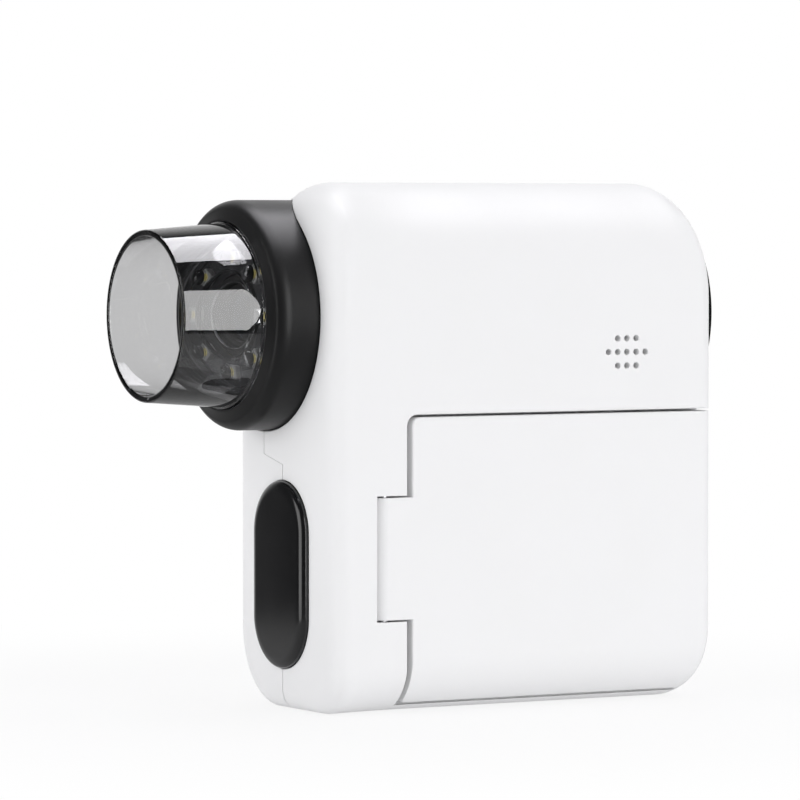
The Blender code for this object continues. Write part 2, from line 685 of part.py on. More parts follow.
def screw_pilot(place, height):
    """The blind hole in the screen shell's post that the screw bites in."""
    seam = seam_place(height)
    depth = SCREW_DEPTH + seam + SEAT_GAP
    return rod("pilot", (place, -SCREW_DEPTH - SEAT_GAP, height), (0, 1, 0), depth + OVERRUN,
               SCREW_RADIUS + FINE_GAP, segments=SMALL_SEGMENTS)


def make_shells(finish):
    """The two shells of the housing, with their screw posts and the rib round the speaker."""
    housing = make_housing()
    palm_shell = copy_object(housing, "grip_shell")
    screen_shell = copy_object(housing, "screen_side_shell")
    combine(palm_shell, seam_side("palm_space", 1), "INTERSECT")
    combine(screen_shell, seam_side("screen_space", -1), "INTERSECT")
    bpy.data.objects.remove(housing)
    for index, (place, height) in enumerate(SCREW_PLACES):
        join(palm_shell, screw_post(f"palm_post_{index}", place, height, 1))
        join(screen_shell, screw_post(f"screen_post_{index}", place, height, -1))
    for place, height in SCREW_PLACES:
        cut(palm_shell, screw_room(place, height))
        cut(screen_shell, screw_pilot(place, height))
    join(screen_shell, make_speaker_rib())
    cut(palm_shell, *socket_mouths())
    for shell in (palm_shell, screen_shell):
        shell.data.materials.clear()
        shell.data.materials.append(finish)
        shell.data.shade_smooth()
        shell.data.set_sharp_from_angle(angle=math.radians(30))
    return palm_shell, screen_shell


def make_speaker_rib():
    """The ring inside the screen shell that the speaker drops into."""
    rib = rod("speaker_rib", (SPEAKER_PLACE, -SCREEN_SIDE + WALL / 2, SPEAKER_HEIGHT), (0, 1, 0),
              WALL / 2 + SPEAKER_RIB_HEIGHT, SPEAKER_RIB_RADIUS)
    room = rod("speaker_room", (SPEAKER_PLACE, -SCREEN_SIDE, SPEAKER_HEIGHT), (0, 1, 0),
               WALL + 2 * SPEAKER_RIB_HEIGHT, SPEAKER_RADIUS + SEAT_GAP)
    return cut(rib, room)


# Light tube, focus ring and lens cell

def make_focus_ring(finish):
    """The turning ring, with a leaning face, a rounded nose, an inner lip, a snap groove and the cam groove."""
    nose = []
    for step in range(BEVEL_STEPS + 1):
        angle = math.radians(90 * step / BEVEL_STEPS)
        along = -RING_REACH + RING_FACE_LEAN + RING_NOSE_LENGTH * (1 - math.sin(angle))
        nose.append((along, RING_RADIUS - RING_NOSE_DROP * (1 - math.cos(angle))))
    snap = RING_BORE + SNAP_HEIGHT
    profile = [(RING_DEPTH, RING_RADIUS)] + nose + [
        (-RING_REACH, RING_MOUTH_RADIUS),
        (-RING_REACH + RING_LIP, RING_MOUTH_RADIUS),
        (-RING_REACH + RING_LIP, RING_BORE),
        (-SNAP_PLACE - SNAP_WIDTH / 2 - SEAT_GAP, RING_BORE),
        (-SNAP_PLACE - SNAP_WIDTH / 2 - SEAT_GAP, snap + SEAT_GAP / 2),
        (-SNAP_PLACE + SNAP_WIDTH / 2 + SEAT_GAP, snap + SEAT_GAP / 2),
        (-SNAP_PLACE + SNAP_WIDTH / 2 + SEAT_GAP, RING_BORE),
        (RING_DEPTH, RING_BORE),
    ]
    ring = turned("focus_ring", profile, finish)
    cut(ring, cam_groove())
    ring.data.shade_smooth()
    ring.data.set_sharp_from_angle(angle=math.radians(30))
    return ring


def cam_groove():
    """The helical groove in the ring's wall that the lens cell's pin follows."""
    spare_angle = (CAM_PIN_RADIUS + SEAT_GAP) / RING_BORE
    half = CAM_PIN_RADIUS + SEAT_GAP
    inner = RING_BORE - CARRIER_WALL
    outer = CAM_PIN_END_RADIUS + SEAT_GAP
    rings = []
    for step in range(GROOVE_STEPS + 1):
        share = 2 * step / GROOVE_STEPS - 1
        angle = share * (CAM_HALF_TURN + spare_angle)
        middle = CAM_PIN_PLACE + CELL_TRAVEL * angle / CAM_HALF_TURN
        direction = Vector((0, math.sin(angle), -math.cos(angle)))
        axis = Vector((middle, 0, LENS_HEIGHT))
        rings.append([
            axis + Vector((-half, 0, 0)) + inner * direction,
            axis + Vector((half, 0, 0)) + inner * direction,
            axis + Vector((half, 0, 0)) + outer * direction,
            axis + Vector((-half, 0, 0)) + outer * direction,
        ])
    return loft("cam_groove", rings)


def make_lens_carrier(finish):
    """The fixed sleeve that carries the ring, the lights and the guide of the lens cell."""
    ledge_rear = -LED_BOARD_REAR + SEAT_GAP + LED_LEDGE
    web_front = RING_DEPTH - CARRIER_WEB
    profile = [
        (-CARRIER_FRONT, CARRIER_RADIUS),
        (-SNAP_PLACE - SNAP_WIDTH / 2, CARRIER_RADIUS),
        (-SNAP_PLACE - SNAP_WIDTH / 4, CARRIER_RADIUS + SNAP_HEIGHT),
        (-SNAP_PLACE + SNAP_WIDTH / 4, CARRIER_RADIUS + SNAP_HEIGHT),
        (-SNAP_PLACE + SNAP_WIDTH / 2, CARRIER_RADIUS),
        (RING_DEPTH, CARRIER_RADIUS),
        (RING_DEPTH, CARRIER_NECK_RADIUS),
        (BULKHEAD_REAR + SEAT_GAP, CARRIER_NECK_RADIUS),
        (BULKHEAD_REAR + SEAT_GAP, CARRIER_FLANGE_RADIUS),
        (CARRIER_REAR, CARRIER_FLANGE_RADIUS),
        (CARRIER_REAR, GUIDE_BORE),
        (ledge_rear, GUIDE_BORE),
        (ledge_rear, GUIDE_BORE + GUIDE_WALL),
        (web_front, GUIDE_BORE + GUIDE_WALL),
        (web_front, CARRIER_BORE),
        (ledge_rear, CARRIER_BORE),
        (ledge_rear, CARRIER_BORE - LED_LEDGE_WIDTH),
        (ledge_rear - LED_LEDGE, CARRIER_BORE - LED_LEDGE_WIDTH),
        (ledge_rear - LED_LEDGE, CARRIER_BORE),
        (-CARRIER_FRONT, CARRIER_BORE),
    ]
    carrier = turned("lens_carrier", profile, finish, FINE_SEGMENTS)
    half = CAM_PIN_RADIUS + SEAT_GAP
    reach = CELL_TRAVEL + CAM_PIN_RADIUS + SEAT_GAP
    slot = block(
        "cam_slot",
        (CAM_PIN_PLACE - reach, -half, LENS_HEIGHT - RING_RADIUS),
        (CAM_PIN_PLACE + reach, half, LENS_HEIGHT - CELL_RADIUS / 2),
    )
    return cut(carrier, slot)


def make_light_tube(finish):
    """The clear tube, which narrows towards its rim and is trapped by a thin flange behind the ring's lip."""
    flange_front = -RING_REACH + RING_LIP + SEAT_GAP
    flange_rear = -CARRIER_FRONT - SEAT_GAP
    root = TUBE_ROOT_RADIUS
    profile = [
        (-TUBE_REACH, TUBE_RIM_RADIUS - TUBE_WALL + TUBE_RIM_ROUND),
        (-TUBE_REACH, TUBE_RIM_RADIUS - TUBE_RIM_ROUND),
        (-TUBE_REACH + TUBE_RIM_ROUND, TUBE_RIM_RADIUS),
        (-RING_REACH, root),
        (flange_front, root),
        (flange_front, TUBE_FLANGE_RADIUS),
        (flange_rear, TUBE_FLANGE_RADIUS),
        (flange_rear, root - TUBE_WALL),
        (-RING_REACH, root - TUBE_WALL),
        (-TUBE_REACH + TUBE_RIM_ROUND, TUBE_RIM_RADIUS - TUBE_WALL),
    ]
    return turned("light_tube", profile, finish)


def led_angle(index):
    """The direction of one light round the lens axis."""
    return 2 * math.pi * index / LED_COUNT


def led_place(index, x):
    """The point on the circle of lights at one of them."""
    angle = led_angle(index)
    across = LED_CIRCLE_RADIUS * math.cos(angle)
    return Vector((x, across, LENS_HEIGHT + LED_CIRCLE_RADIUS * math.sin(angle)))


def make_led_cover(finish):
    """The clear ring over the lights, with a small dome before each and a skirt that stands on the board."""
    front = -LED_DEPTH - SEAT_GAP - COVER_PLATE
    rear = front + COVER_PLATE
    foot = -LED_BOARD_FRONT - FINE_GAP
    inner = CELL_RADIUS + 2 * SEAT_GAP
    cover = turned("led_cover", [
        (front, inner), (front, COVER_RADIUS), (foot, COVER_RADIUS),
        (foot, COVER_RADIUS - COVER_SKIRT), (rear, COVER_RADIUS - COVER_SKIRT), (rear, inner),
    ], finish, FINE_SEGMENTS)
    for index in range(LED_COUNT):
        builder = bmesh.new()
        bmesh.ops.create_uvsphere(
            builder, u_segments=SMALL_SEGMENTS, v_segments=SMALL_SEGMENTS // 2, radius=1)
        place = led_place(index, front + FINE_GAP)
        stretch = Matrix.Diagonal((DOME_HEIGHT + FINE_GAP, DOME_RADIUS, DOME_RADIUS, 1))
        upright = Matrix.Rotation(math.pi / 2, 4, "Y")
        builder.transform(Matrix.Translation(place) @ stretch @ upright)
        dome = new_object(f"dome_{index}", builder, None)
        behind = block("dome_back", place + Vector((FINE_GAP, -2 * DOME_RADIUS, -2 * DOME_RADIUS)),
                       place + Vector((2 * DOME_RADIUS, 2 * DOME_RADIUS, 2 * DOME_RADIUS)))
        join(cover, cut(dome, behind))
    return cover


def make_led_board(finish):
    """The ring-shaped board of the lights."""
    inner = GUIDE_BORE + FINE_GAP
    outer = CARRIER_BORE - SEAT_GAP
    return turned("led_board", [
        (-LED_BOARD_FRONT, inner), (-LED_BOARD_FRONT, outer),
        (-LED_BOARD_REAR, outer), (-LED_BOARD_REAR, inner),
    ], finish, FINE_SEGMENTS)


def make_led(index, finish):
    """One light: a flat package with bevelled corners, square to its radius."""
    half = Vector((LED_THICKNESS, LED_WIDTH, LED_LENGTH)) / 2
    light = block(f"led_{index + 1}", -half, half, finish, bevel=LED_THICKNESS / 5)
    light.location = led_place(index, -LED_DEPTH + LED_THICKNESS / 2)
    light.rotation_euler = (led_angle(index), 0, 0)
    return light


def lens_profile(front, rear, radius, bulge, steps=4):
    """The half section of a lens that bulges on both faces."""
    angles = [math.radians(90 * step / steps) for step in range(steps + 1)]
    ahead = [(front + bulge * (1 - math.cos(angle)), radius * math.sin(angle)) for angle in angles]
    behind = [(rear - bulge * (1 - math.cos(angle)), radius * math.sin(angle)) for angle in reversed(angles)]
    return ahead + behind


def make_lens_cell(finish, glass, metal):
    """The sliding lens cell with its two lenses, the ring that holds the front one and the cam pin."""
    bore = CELL_RADIUS - CELL_WALL
    rear_seat = CELL_REAR - CELL_REAR_LIP
    rear_front = rear_seat - REAR_LENS_THICKNESS - 2 * SEAT_GAP
    cell = turned("lens_barrel", [
        (-CELL_FRONT, CELL_RADIUS), (CELL_REAR, CELL_RADIUS), (CELL_REAR, CELL_REAR_APERTURE),
        (rear_seat, CELL_REAR_APERTURE), (rear_seat, bore), (rear_front, bore),
        (rear_front, CELL_STOP_RADIUS), (-FRONT_LENS_SEAT, CELL_STOP_RADIUS),
        (-FRONT_LENS_SEAT, bore), (-CELL_FRONT, bore),
    ], finish, FINE_SEGMENTS)
    glass_radius = bore - SEAT_GAP
    front_rear = -FRONT_LENS_SEAT - FINE_GAP
    front_front = front_rear - FRONT_LENS_THICKNESS
    front_profile = lens_profile(front_front, front_rear, glass_radius, LENS_BULGE)
    front_lens = turned("front_lens", front_profile, glass, FINE_SEGMENTS)
    rear_profile = lens_profile(rear_front + SEAT_GAP, rear_seat - SEAT_GAP, glass_radius, LENS_BULGE / 2)
    rear_lens = turned("rear_lens", rear_profile, glass, FINE_SEGMENTS)
    ring_inner = glass_radius - RETAINER_WALL
    bulge_share = 1 - math.sqrt(1 - (ring_inner / glass_radius) ** 2)
    ring_rear = front_front + LENS_BULGE * bulge_share - FINE_GAP
    retainer = turned("lens_retainer", [
        (ring_rear - RETAINER_THICKNESS, ring_inner), (ring_rear - RETAINER_THICKNESS, glass_radius),
        (ring_rear, glass_radius), (ring_rear, ring_inner),
    ], metal, FINE_SEGMENTS)
    pin_root = CELL_RADIUS - CELL_WALL / 2
    pin = rod("cam_pin", (CAM_PIN_PLACE, 0, LENS_HEIGHT - pin_root), (0, 0, -1),
              CAM_PIN_END_RADIUS - pin_root, CAM_PIN_RADIUS, metal, SMALL_SEGMENTS)
    cut(cell, rod("pin_seat", (CAM_PIN_PLACE, 0, LENS_HEIGHT - pin_root + FINE_GAP), (0, 0, -1), CELL_RADIUS,
                  CAM_PIN_RADIUS + FINE_GAP, segments=SMALL_SEGMENTS))
    return cell, front_lens, rear_lens, retainer, pin


# Image sensor

def make_sensor_stack(plastic, glass, board, chip):
    """The holder behind the lens, its filter, the image sensor and the sensor's board."""
    inner = HOLDER_RADIUS - HOLDER_WALL
    shelf_inner = (FILTER_SIZE - HOLDER_WALL) / 2
    shelf_rear = HOLDER_FRONT + FILTER_PLACE
    shelf_front = shelf_rear - HOLDER_WALL
    holder = turned("sensor_holder", [
        (HOLDER_FRONT, inner), (HOLDER_FRONT, HOLDER_RADIUS),
        (HOLDER_REAR, HOLDER_RADIUS), (HOLDER_REAR, inner),
        (shelf_rear, inner), (shelf_rear, shelf_inner), (shelf_front, shelf_inner), (shelf_front, inner),
    ], plastic, FINE_SEGMENTS)
    half = FILTER_SIZE / 2
    front = shelf_rear + FINE_GAP
    glass_filter = block("sensor_filter", (front, -half, LENS_HEIGHT - half),
                         (front + FILTER_THICKNESS, half, LENS_HEIGHT + half), glass)
    board_front = HOLDER_REAR + SEAT_GAP
    half = SENSOR_BOARD_SIZE / 2
    sensor_board = block("sensor_board", (board_front, -half, LENS_HEIGHT - half),
                         (board_front + BOARD_THICKNESS, half, LENS_HEIGHT + half), board)
    half = SENSOR_SIZE / 2
    rear = board_front - FINE_GAP
    sensor = block("image_sensor", (rear - SENSOR_THICKNESS, -half, LENS_HEIGHT - half),
                   (rear, half, LENS_HEIGHT + half), chip, bevel=SENSOR_THICKNESS / 6)
    return holder, glass_filter, sensor, sensor_board


# Fold-out screen

def make_screen_cover(finish):
    """The screen's outer shell: a piece of the housing's form, with its knuckle and the display's cell."""
    cover = housing_form("screen_cover")
    centre = ((SCREEN_FRONT + HOUSING_LENGTH) / 2, (SCREEN_BOTTOM + SCREEN_TOP) / 2)
    radii = (SCREEN_SMALL_CORNER, SCREEN_CORNER, SCREEN_SMALL_CORNER, SCREEN_SMALL_CORNER)
    length, height = HOUSING_LENGTH - SCREEN_FRONT, SCREEN_TOP - SCREEN_BOTTOM
    outline = rounded_outline(centre, length, height, radii, BEVEL_STEPS)
    space = slab("cover_space", outline, "y", -SCREEN_SIDE - OVERRUN, -SCREEN_INNER_FACE)
    web = block("knuckle_web", (HINGE_PLACE, -SCREEN_SIDE - OVERRUN / 2, HINGE_BOTTOM),
                (SCREEN_FRONT + SCREEN_RIM / 2, -HINGE_DEPTH + HINGE_RADIUS - FINE_GAP, HINGE_TOP))
    combine(cover, join(space, web), "INTERSECT")
    knuckle = rod("knuckle", (HINGE_PLACE, -HINGE_DEPTH, HINGE_BOTTOM), (0, 0, 1), HINGE_TOP - HINGE_BOTTOM,
                  HINGE_RADIUS, segments=KNUCKLE_SEGMENTS)
    join(cover, knuckle)
    cell = block(
        "display_cell",
        (SCREEN_CELL_FRONT, -SCREEN_SIDE + SCREEN_SHELL, SCREEN_CELL_BOTTOM),
        (SCREEN_CELL_REAR, -SCREEN_INNER_FACE + OVERRUN, SCREEN_CELL_TOP),
    )
    bore = rod("knuckle_bore", (HINGE_PLACE, -HINGE_DEPTH, HINGE_BOTTOM - OVERRUN), (0, 0, 1),
               HINGE_TOP - HINGE_BOTTOM + 2 * OVERRUN, HINGE_PIN_RADIUS + SEAT_GAP, segments=SMALL_SEGMENTS)
    cut(cover, cell, bore)
    cover.data.materials.clear()
    cover.data.materials.append(finish)
    cover.data.shade_smooth()
    cover.data.set_sharp_from_angle(angle=math.radians(30))
    return cover


def make_display(panel_finish, frame_finish, window_finish):
    """The display panel, the frame round it and the clear window in the frame."""
    middle_x = (SCREEN_CELL_FRONT + SCREEN_CELL_REAR) / 2
    middle_z = (SCREEN_CELL_BOTTOM + SCREEN_CELL_TOP) / 2
    centre = (middle_x, middle_z)
    floor = -SCREEN_SIDE + SCREEN_SHELL + SEAT_GAP
    panel_outline = rounded_outline(centre, DISPLAY_LENGTH, DISPLAY_HEIGHT, SEAT_GAP, steps=1)
    panel = slab("display_panel", panel_outline, "y", floor, floor + DISPLAY_THICKNESS, panel_finish)
    face = -SCREEN_INNER_FACE
    frame = slab("display_frame", panel_outline, "y", face - FRAME_THICKNESS, face, frame_finish)
    opening = rounded_outline(centre, WINDOW_LENGTH, WINDOW_HEIGHT, WINDOW_CORNER, BEVEL_STEPS)
    cut(frame, slab("window_opening", opening, "y", face - 2 * FRAME_THICKNESS, face + OVERRUN))
    length, height = WINDOW_LENGTH - SEAT_GAP, WINDOW_HEIGHT - SEAT_GAP
    glass_outline = rounded_outline(centre, length, height, WINDOW_CORNER, BEVEL_STEPS)
    window = slab("display_window", glass_outline, "y", face - SEAT_GAP - WINDOW_THICKNESS, face - SEAT_GAP,
                  window_finish)
    return panel, frame, window


def make_hinge_pin(metal):
    """The steel pin through the knuckle, held at both ends in the shell."""
    low = HINGE_BOTTOM - HINGE_PIN_TAIL
    return rod("hinge_pin", (HINGE_PLACE, -HINGE_DEPTH, low), (0, 0, 1), HINGE_TOP + HINGE_PIN_TAIL - low,
               HINGE_PIN_RADIUS, metal, SMALL_SEGMENTS)


# Rear fascia and keys

def key_middle(index):
    """The direction of one of the four keys round the lens axis."""
    return 2 * math.pi * index / KEY_COUNT


def key_outline(grow=0.0, middle=0.0):
    """The outline of one of the four keys round the shutter key."""
    turn = grow / KEY_OUTER_RADIUS
    return sector_outline(KEY_INNER_RADIUS - grow, KEY_OUTER_RADIUS + grow, middle, KEY_HALF_ANGLE + turn)


def make_fascia(finish):
    """The round glossy fascia in the rear recess, with the holes that the keys come through."""
    front = HOUSING_LENGTH - FASCIA_SEAT
    rear = HOUSING_LENGTH + FASCIA_PROUD
    shoulder = []
    for step in range(BEVEL_STEPS + 1):
        angle = math.radians(90 * step / BEVEL_STEPS)
        place = rear - FASCIA_ROUND * (1 - math.sin(angle))
        shoulder.append((place, FASCIA_RADIUS - FASCIA_ROUND * (1 - math.cos(angle))))
    hole = SHUTTER_RADIUS + SEAT_GAP
    profile = [(front, hole), (front, FASCIA_RADIUS)] + shoulder + [(rear, hole)]
    fascia = turned("rear_fascia", profile, finish)
    for index in range(KEY_COUNT):
        outline = key_outline(SEAT_GAP, key_middle(index))
        cut(fascia, slab(f"key_hole_{index}", outline, "x", front - OVERRUN, rear + OVERRUN))
    return fascia


def make_shutter_key(finish):
    """The round key in the middle, with a dished top and a flange that keeps it behind the fascia."""
    dish = KEY_PROUD
    flange = SHUTTER_RADIUS + KEY_FLANGE
    return turned("shutter_key", [
        (KEY_FRONT, 0), (KEY_FRONT, flange), (KEY_FLANGE_REAR, flange), (KEY_FLANGE_REAR, SHUTTER_RADIUS),
        (KEY_REAR - dish, SHUTTER_RADIUS), (KEY_REAR, SHUTTER_RADIUS - dish),
        (KEY_REAR - dish / 2, SHUTTER_RADIUS / 2), (KEY_REAR - dish, 0),
    ], finish, FINE_SEGMENTS)


def make_side_key(name, middle, finish):
    """One of the four keys round the shutter key."""
    flange = slab(name, key_outline(KEY_FLANGE, middle), "x", KEY_FRONT, KEY_FLANGE_REAR, finish)
    stem = slab("key_stem", key_outline(0, middle), "x", KEY_FRONT + KEY_FLANGE_THICKNESS / 2, KEY_REAR)
    return join(flange, stem)


def make_key_boards(rubber, board):
    """The soft membrane under the keys and the board with their contacts."""
    radius = FASCIA_RADIUS - FASCIA_LEDGE - SEAT_GAP
    front = MEMBRANE_REAR - MEMBRANE_THICKNESS
    membrane = lens_cylinder("key_membrane", radius, front, MEMBRANE_REAR, FINE_SEGMENTS)
    membrane.data.materials.append(rubber)
    front = KEY_BOARD_REAR - KEY_BOARD_THICKNESS
    key_board = lens_cylinder("key_board", radius, front, KEY_BOARD_REAR, FINE_SEGMENTS)
    key_board.data.materials.append(board)
    return membrane, key_board


# Plaque, boards, battery, speaker and sockets

def plaque_outline(grow=0.0):
    """The stadium outline of the front plaque."""
    width, height = PLAQUE_WIDTH + 2 * grow, PLAQUE_HEIGHT + 2 * grow
    return rounded_outline((-PLAQUE_OFFSET, PLAQUE_PLACE), width, height, min(width, height) / 2, steps=10)


def make_plaque(finish):
    """The raised dark plaque on the front, with a wide bevel round its flat face."""
    straight = PLAQUE_PROUD * PLAQUE_STRAIGHT_SHARE
    levels = [(PLAQUE_SEAT - SEAT_GAP, 0)]
    for step in range(BEVEL_STEPS + 1):
        angle = math.radians(90 * step / BEVEL_STEPS)
        place = -straight - (PLAQUE_PROUD - straight) * math.sin(angle)
        levels.append((place, -PLAQUE_BEVEL * (1 - math.cos(angle))))
    rings = [[(x, y, z) for y, z in plaque_outline(grow)] for x, grow in levels]
    return loft("front_plaque", rings, finish)


def make_main_board(finish):
    """The main board, stepped round the sensor and the keys, with holes for the posts that run through it."""
    lower_rear = HOUSING_LENGTH - WALL - 2 * SEAT_GAP - FRONT_BOTTOM_RADIUS
    upper_rear = KEY_BOARD_REAR - KEY_BOARD_THICKNESS - 2 * SEAT_GAP
    outline = [
        (MAIN_BOARD_FRONT, MAIN_BOARD_BOTTOM), (lower_rear, MAIN_BOARD_BOTTOM),
        (lower_rear, MAIN_BOARD_REAR_BOTTOM), (upper_rear, MAIN_BOARD_REAR_BOTTOM),
        (upper_rear, MAIN_BOARD_TOP), (MAIN_BOARD_STEP, MAIN_BOARD_TOP),
        (MAIN_BOARD_STEP, MAIN_BOARD_SHOULDER), (MAIN_BOARD_FRONT, MAIN_BOARD_SHOULDER),
    ]
    far = MAIN_BOARD_PLACE + MAIN_BOARD_THICKNESS
    board = slab("main_board", outline, "y", MAIN_BOARD_PLACE, far, finish)
    radius = POST_RADIUS + SEAT_GAP
    for place, height in SCREW_PLACES:
        if place > MAIN_BOARD_FRONT:
            cut(board, rod("post_room", (place, MAIN_BOARD_PLACE - OVERRUN, height), (0, 1, 0),
                           MAIN_BOARD_THICKNESS + 2 * OVERRUN, radius, segments=POST_SEGMENTS))
    return board


def make_inner_parts(board, chip, foil, speaker_finish):
    """The main board, its processor, the battery and the speaker."""
    main_board = make_main_board(board)
    near = MAIN_BOARD_PLACE - FINE_GAP
    half = PROCESSOR_SIZE / 2
    low = (PROCESSOR_PLACE - half, near - PROCESSOR_THICKNESS, PROCESSOR_HEIGHT - half)
    high = (PROCESSOR_PLACE + half, near, PROCESSOR_HEIGHT + half)
    processor = block("processor", low, high, chip, bevel=PROCESSOR_THICKNESS / 6)
    far = MAIN_BOARD_PLACE + MAIN_BOARD_THICKNESS + SEAT_GAP
    battery = block("battery", (BATTERY_FRONT, far, BATTERY_BOTTOM),
                    (BATTERY_REAR, far + BATTERY_THICKNESS, BATTERY_TOP), foil, bevel=BATTERY_THICKNESS / 8,
                    bevel_steps=2)
    speaker = rod("speaker", (SPEAKER_PLACE, -SCREEN_SIDE + WALL + SEAT_GAP, SPEAKER_HEIGHT), (0, 1, 0),
                  SPEAKER_THICKNESS, SPEAKER_RADIUS, speaker_finish)
    return main_board, processor, battery, speaker


def socket_middle(thickness):
    """Where a socket on the near face of the main board has its middle."""
    return MAIN_BOARD_PLACE - FINE_GAP - thickness / 2


def socket_mouths():
    """The two openings in the palm shell's rear wall, for the charging plug and the memory card."""
    usb = rounded_outline((socket_middle(USB_THICKNESS), USB_HEIGHT), USB_THICKNESS + 2 * SEAT_GAP,
                          USB_WIDTH + 2 * SEAT_GAP, USB_THICKNESS / 2 + SEAT_GAP, steps=5)
    card = rounded_outline((socket_middle(CARD_THICKNESS), CARD_HEIGHT), CARD_THICKNESS + 2 * SEAT_GAP,
                           CARD_WIDTH + 2 * SEAT_GAP, SEAT_GAP, steps=1)
    front = HOUSING_LENGTH - WALL - REAR_BOTTOM_RADIUS
    rear = HOUSING_LENGTH + OVERRUN
    return slab("usb_mouth", usb, "x", front, rear), slab("card_mouth", card, "x", front, rear)


def make_usb_socket(finish):
    """The charging socket: a flattened metal tube with a tongue inside."""
    rear = HOUSING_LENGTH - SEAT_GAP
    middle = socket_middle(USB_THICKNESS)
    outer = rounded_outline((middle, USB_HEIGHT), USB_THICKNESS, USB_WIDTH, USB_THICKNESS / 2, steps=5)
    inner_thickness = USB_THICKNESS - 2 * USB_SHELL
    inner_width = USB_WIDTH - 2 * USB_SHELL
    inner = rounded_outline((middle, USB_HEIGHT), inner_thickness, inner_width, inner_thickness / 2, steps=5)
    socket = slab("usb_socket", outer, "x", rear - USB_DEPTH, rear, finish)
    cut(socket, slab("usb_room", inner, "x", rear - USB_DEPTH + 2 * USB_SHELL, rear + OVERRUN))
    tongue = block(
        "usb_tongue",
        (rear - USB_DEPTH + USB_SHELL, middle - USB_TONGUE / 2, USB_HEIGHT - USB_TONGUE_WIDTH / 2),
        (rear - 2 * USB_SHELL, middle + USB_TONGUE / 2, USB_HEIGHT + USB_TONGUE_WIDTH / 2),
    )
    return join(socket, tongue)


def make_card_socket(finish):
    """The memory card socket: a flat metal box, open towards the rear."""
    rear = HOUSING_LENGTH - WALL / 2
    middle = socket_middle(CARD_THICKNESS)
    front = rear - CARD_DEPTH
    half = Vector((0, CARD_THICKNESS, CARD_WIDTH)) / 2
    socket = block("card_socket", Vector((front, middle, CARD_HEIGHT)) - half,
                   Vector((rear, middle, CARD_HEIGHT)) + half, finish)
    half = Vector((0, CARD_SLOT_THICKNESS, CARD_SLOT)) / 2
    room = block("card_room", Vector((front + CARD_THICKNESS, middle, CARD_HEIGHT)) - half,
                 Vector((rear + OVERRUN, middle, CARD_HEIGHT)) + half)
    return cut(socket, room)


def make_screw(index, place, height, metal):
    """One screw, with a round head and a hexagonal recess in it."""
    tip = -SCREW_DEPTH
    head_front = SCREW_HEAD_PLACE
    screw = rod(f"case_screw_{index + 1}", (place, head_front, height), (0, 1, 0), SCREW_HEAD_THICKNESS,
                SCREW_HEAD_RADIUS, metal, FINE_SEGMENTS // 2)
    length = head_front - tip + SCREW_HEAD_THICKNESS / 2
    shank = rod("shank", (place, tip, height), (0, 1, 0), length, SCREW_RADIUS, segments=SMALL_SEGMENTS)
    top = head_front + SCREW_HEAD_THICKNESS
    recess = rod("recess", (place, top - SCREW_SLOT_DEPTH, height), (0, 1, 0), SCREW_SLOT_DEPTH + OVERRUN,
                 SCREW_SLOT_RADIUS, segments=6)
    return cut(join(screw, shank), recess)


def main():
    """Clears the scene and builds the microscope."""
    for old in list(bpy.data.objects):
        bpy.data.objects.remove(old)

    white = material("white_plastic", (0.86, 0.86, 0.86), 0.38)
    black = material("satin_black_plastic", (0.018, 0.018, 0.019), 0.42)
    gloss = material("gloss_black_plastic", (0.010, 0.010, 0.012), 0.12, coat=0.6)
    inner_black = material("matt_black_plastic", (0.022, 0.022, 0.022), 0.65)
    clear = material("clear_plastic", (0.95, 0.96, 0.97), 0.04, transmission=0.9)
    glass = material("lens_glass", (0.80, 0.85, 0.92), 0.02, transmission=0.9)
    phosphor = material("light_phosphor", (0.92, 0.80, 0.32), 0.35)
    board_green = material("board_green", (0.020, 0.16, 0.07), 0.45)
    board_black = material("board_black", (0.020, 0.021, 0.023), 0.40)
    chip = material("chip_black", (0.035, 0.035, 0.037), 0.50)
    foil = material("battery_foil", (0.62, 0.63, 0.66), 0.35, metallic=0.8)
    steel = material("steel", (0.60, 0.60, 0.62), 0.28, metallic=1.0)
    rubber = material("key_rubber", (0.10, 0.10, 0.11), 0.75)
    display = material("display_black", (0.008, 0.009, 0.012), 0.15)

    datum = bpy.data.objects.new("front_datum", None)
    datum.location = (FRONT_PLACE, LENS_PLANE, 0)
    bpy.context.scene.collection.objects.link(datum)
    focus_axis = axis_empty("focus_axis", (0, 0, LENS_HEIGHT), datum)
    hinge_axis = axis_empty("screen_hinge_axis", (HINGE_PLACE, -HINGE_DEPTH, HINGE_BOTTOM), datum)
    key_axis = axis_empty("key_axis", (HOUSING_LENGTH, 0, LENS_HEIGHT), datum)

    fixed = list(make_shells(white))
    fixed += [make_lens_carrier(inner_black), make_light_tube(clear), make_led_cover(clear)]
    fixed.append(make_led_board(board_black))
    fixed += make_sensor_stack(inner_black, glass, board_green, chip)
    fixed += make_inner_parts(board_green, chip, foil, inner_black)
    fixed += [make_usb_socket(steel), make_card_socket(steel)]
    fixed += [make_fascia(gloss), *make_key_boards(rubber, board_green)]
    fixed += [make_plaque(gloss), make_hinge_pin(steel)]
    fixed += [make_screw(index, place, height, steel) for index, (place, height) in enumerate(SCREW_PLACES)]
    for piece in fixed:
        piece.parent = datum
    for index in range(LED_COUNT):
        make_led(index, phosphor).parent = datum

    hang(make_focus_ring(black), focus_axis)
    for piece in make_lens_cell(inner_black, glass, steel):
        hang(piece, focus_axis)
    hang(make_screen_cover(white), hinge_axis)
    for piece in make_display(display, black, glass):
        hang(piece, hinge_axis)
    hang(make_shutter_key(gloss), key_axis)
    key_names = ("light_key", "zoom_in_key", "menu_key", "zoom_out_key")
    for index, name in enumerate(key_names):
        hang(make_side_key(name, key_middle(index), gloss), key_axis)


main()
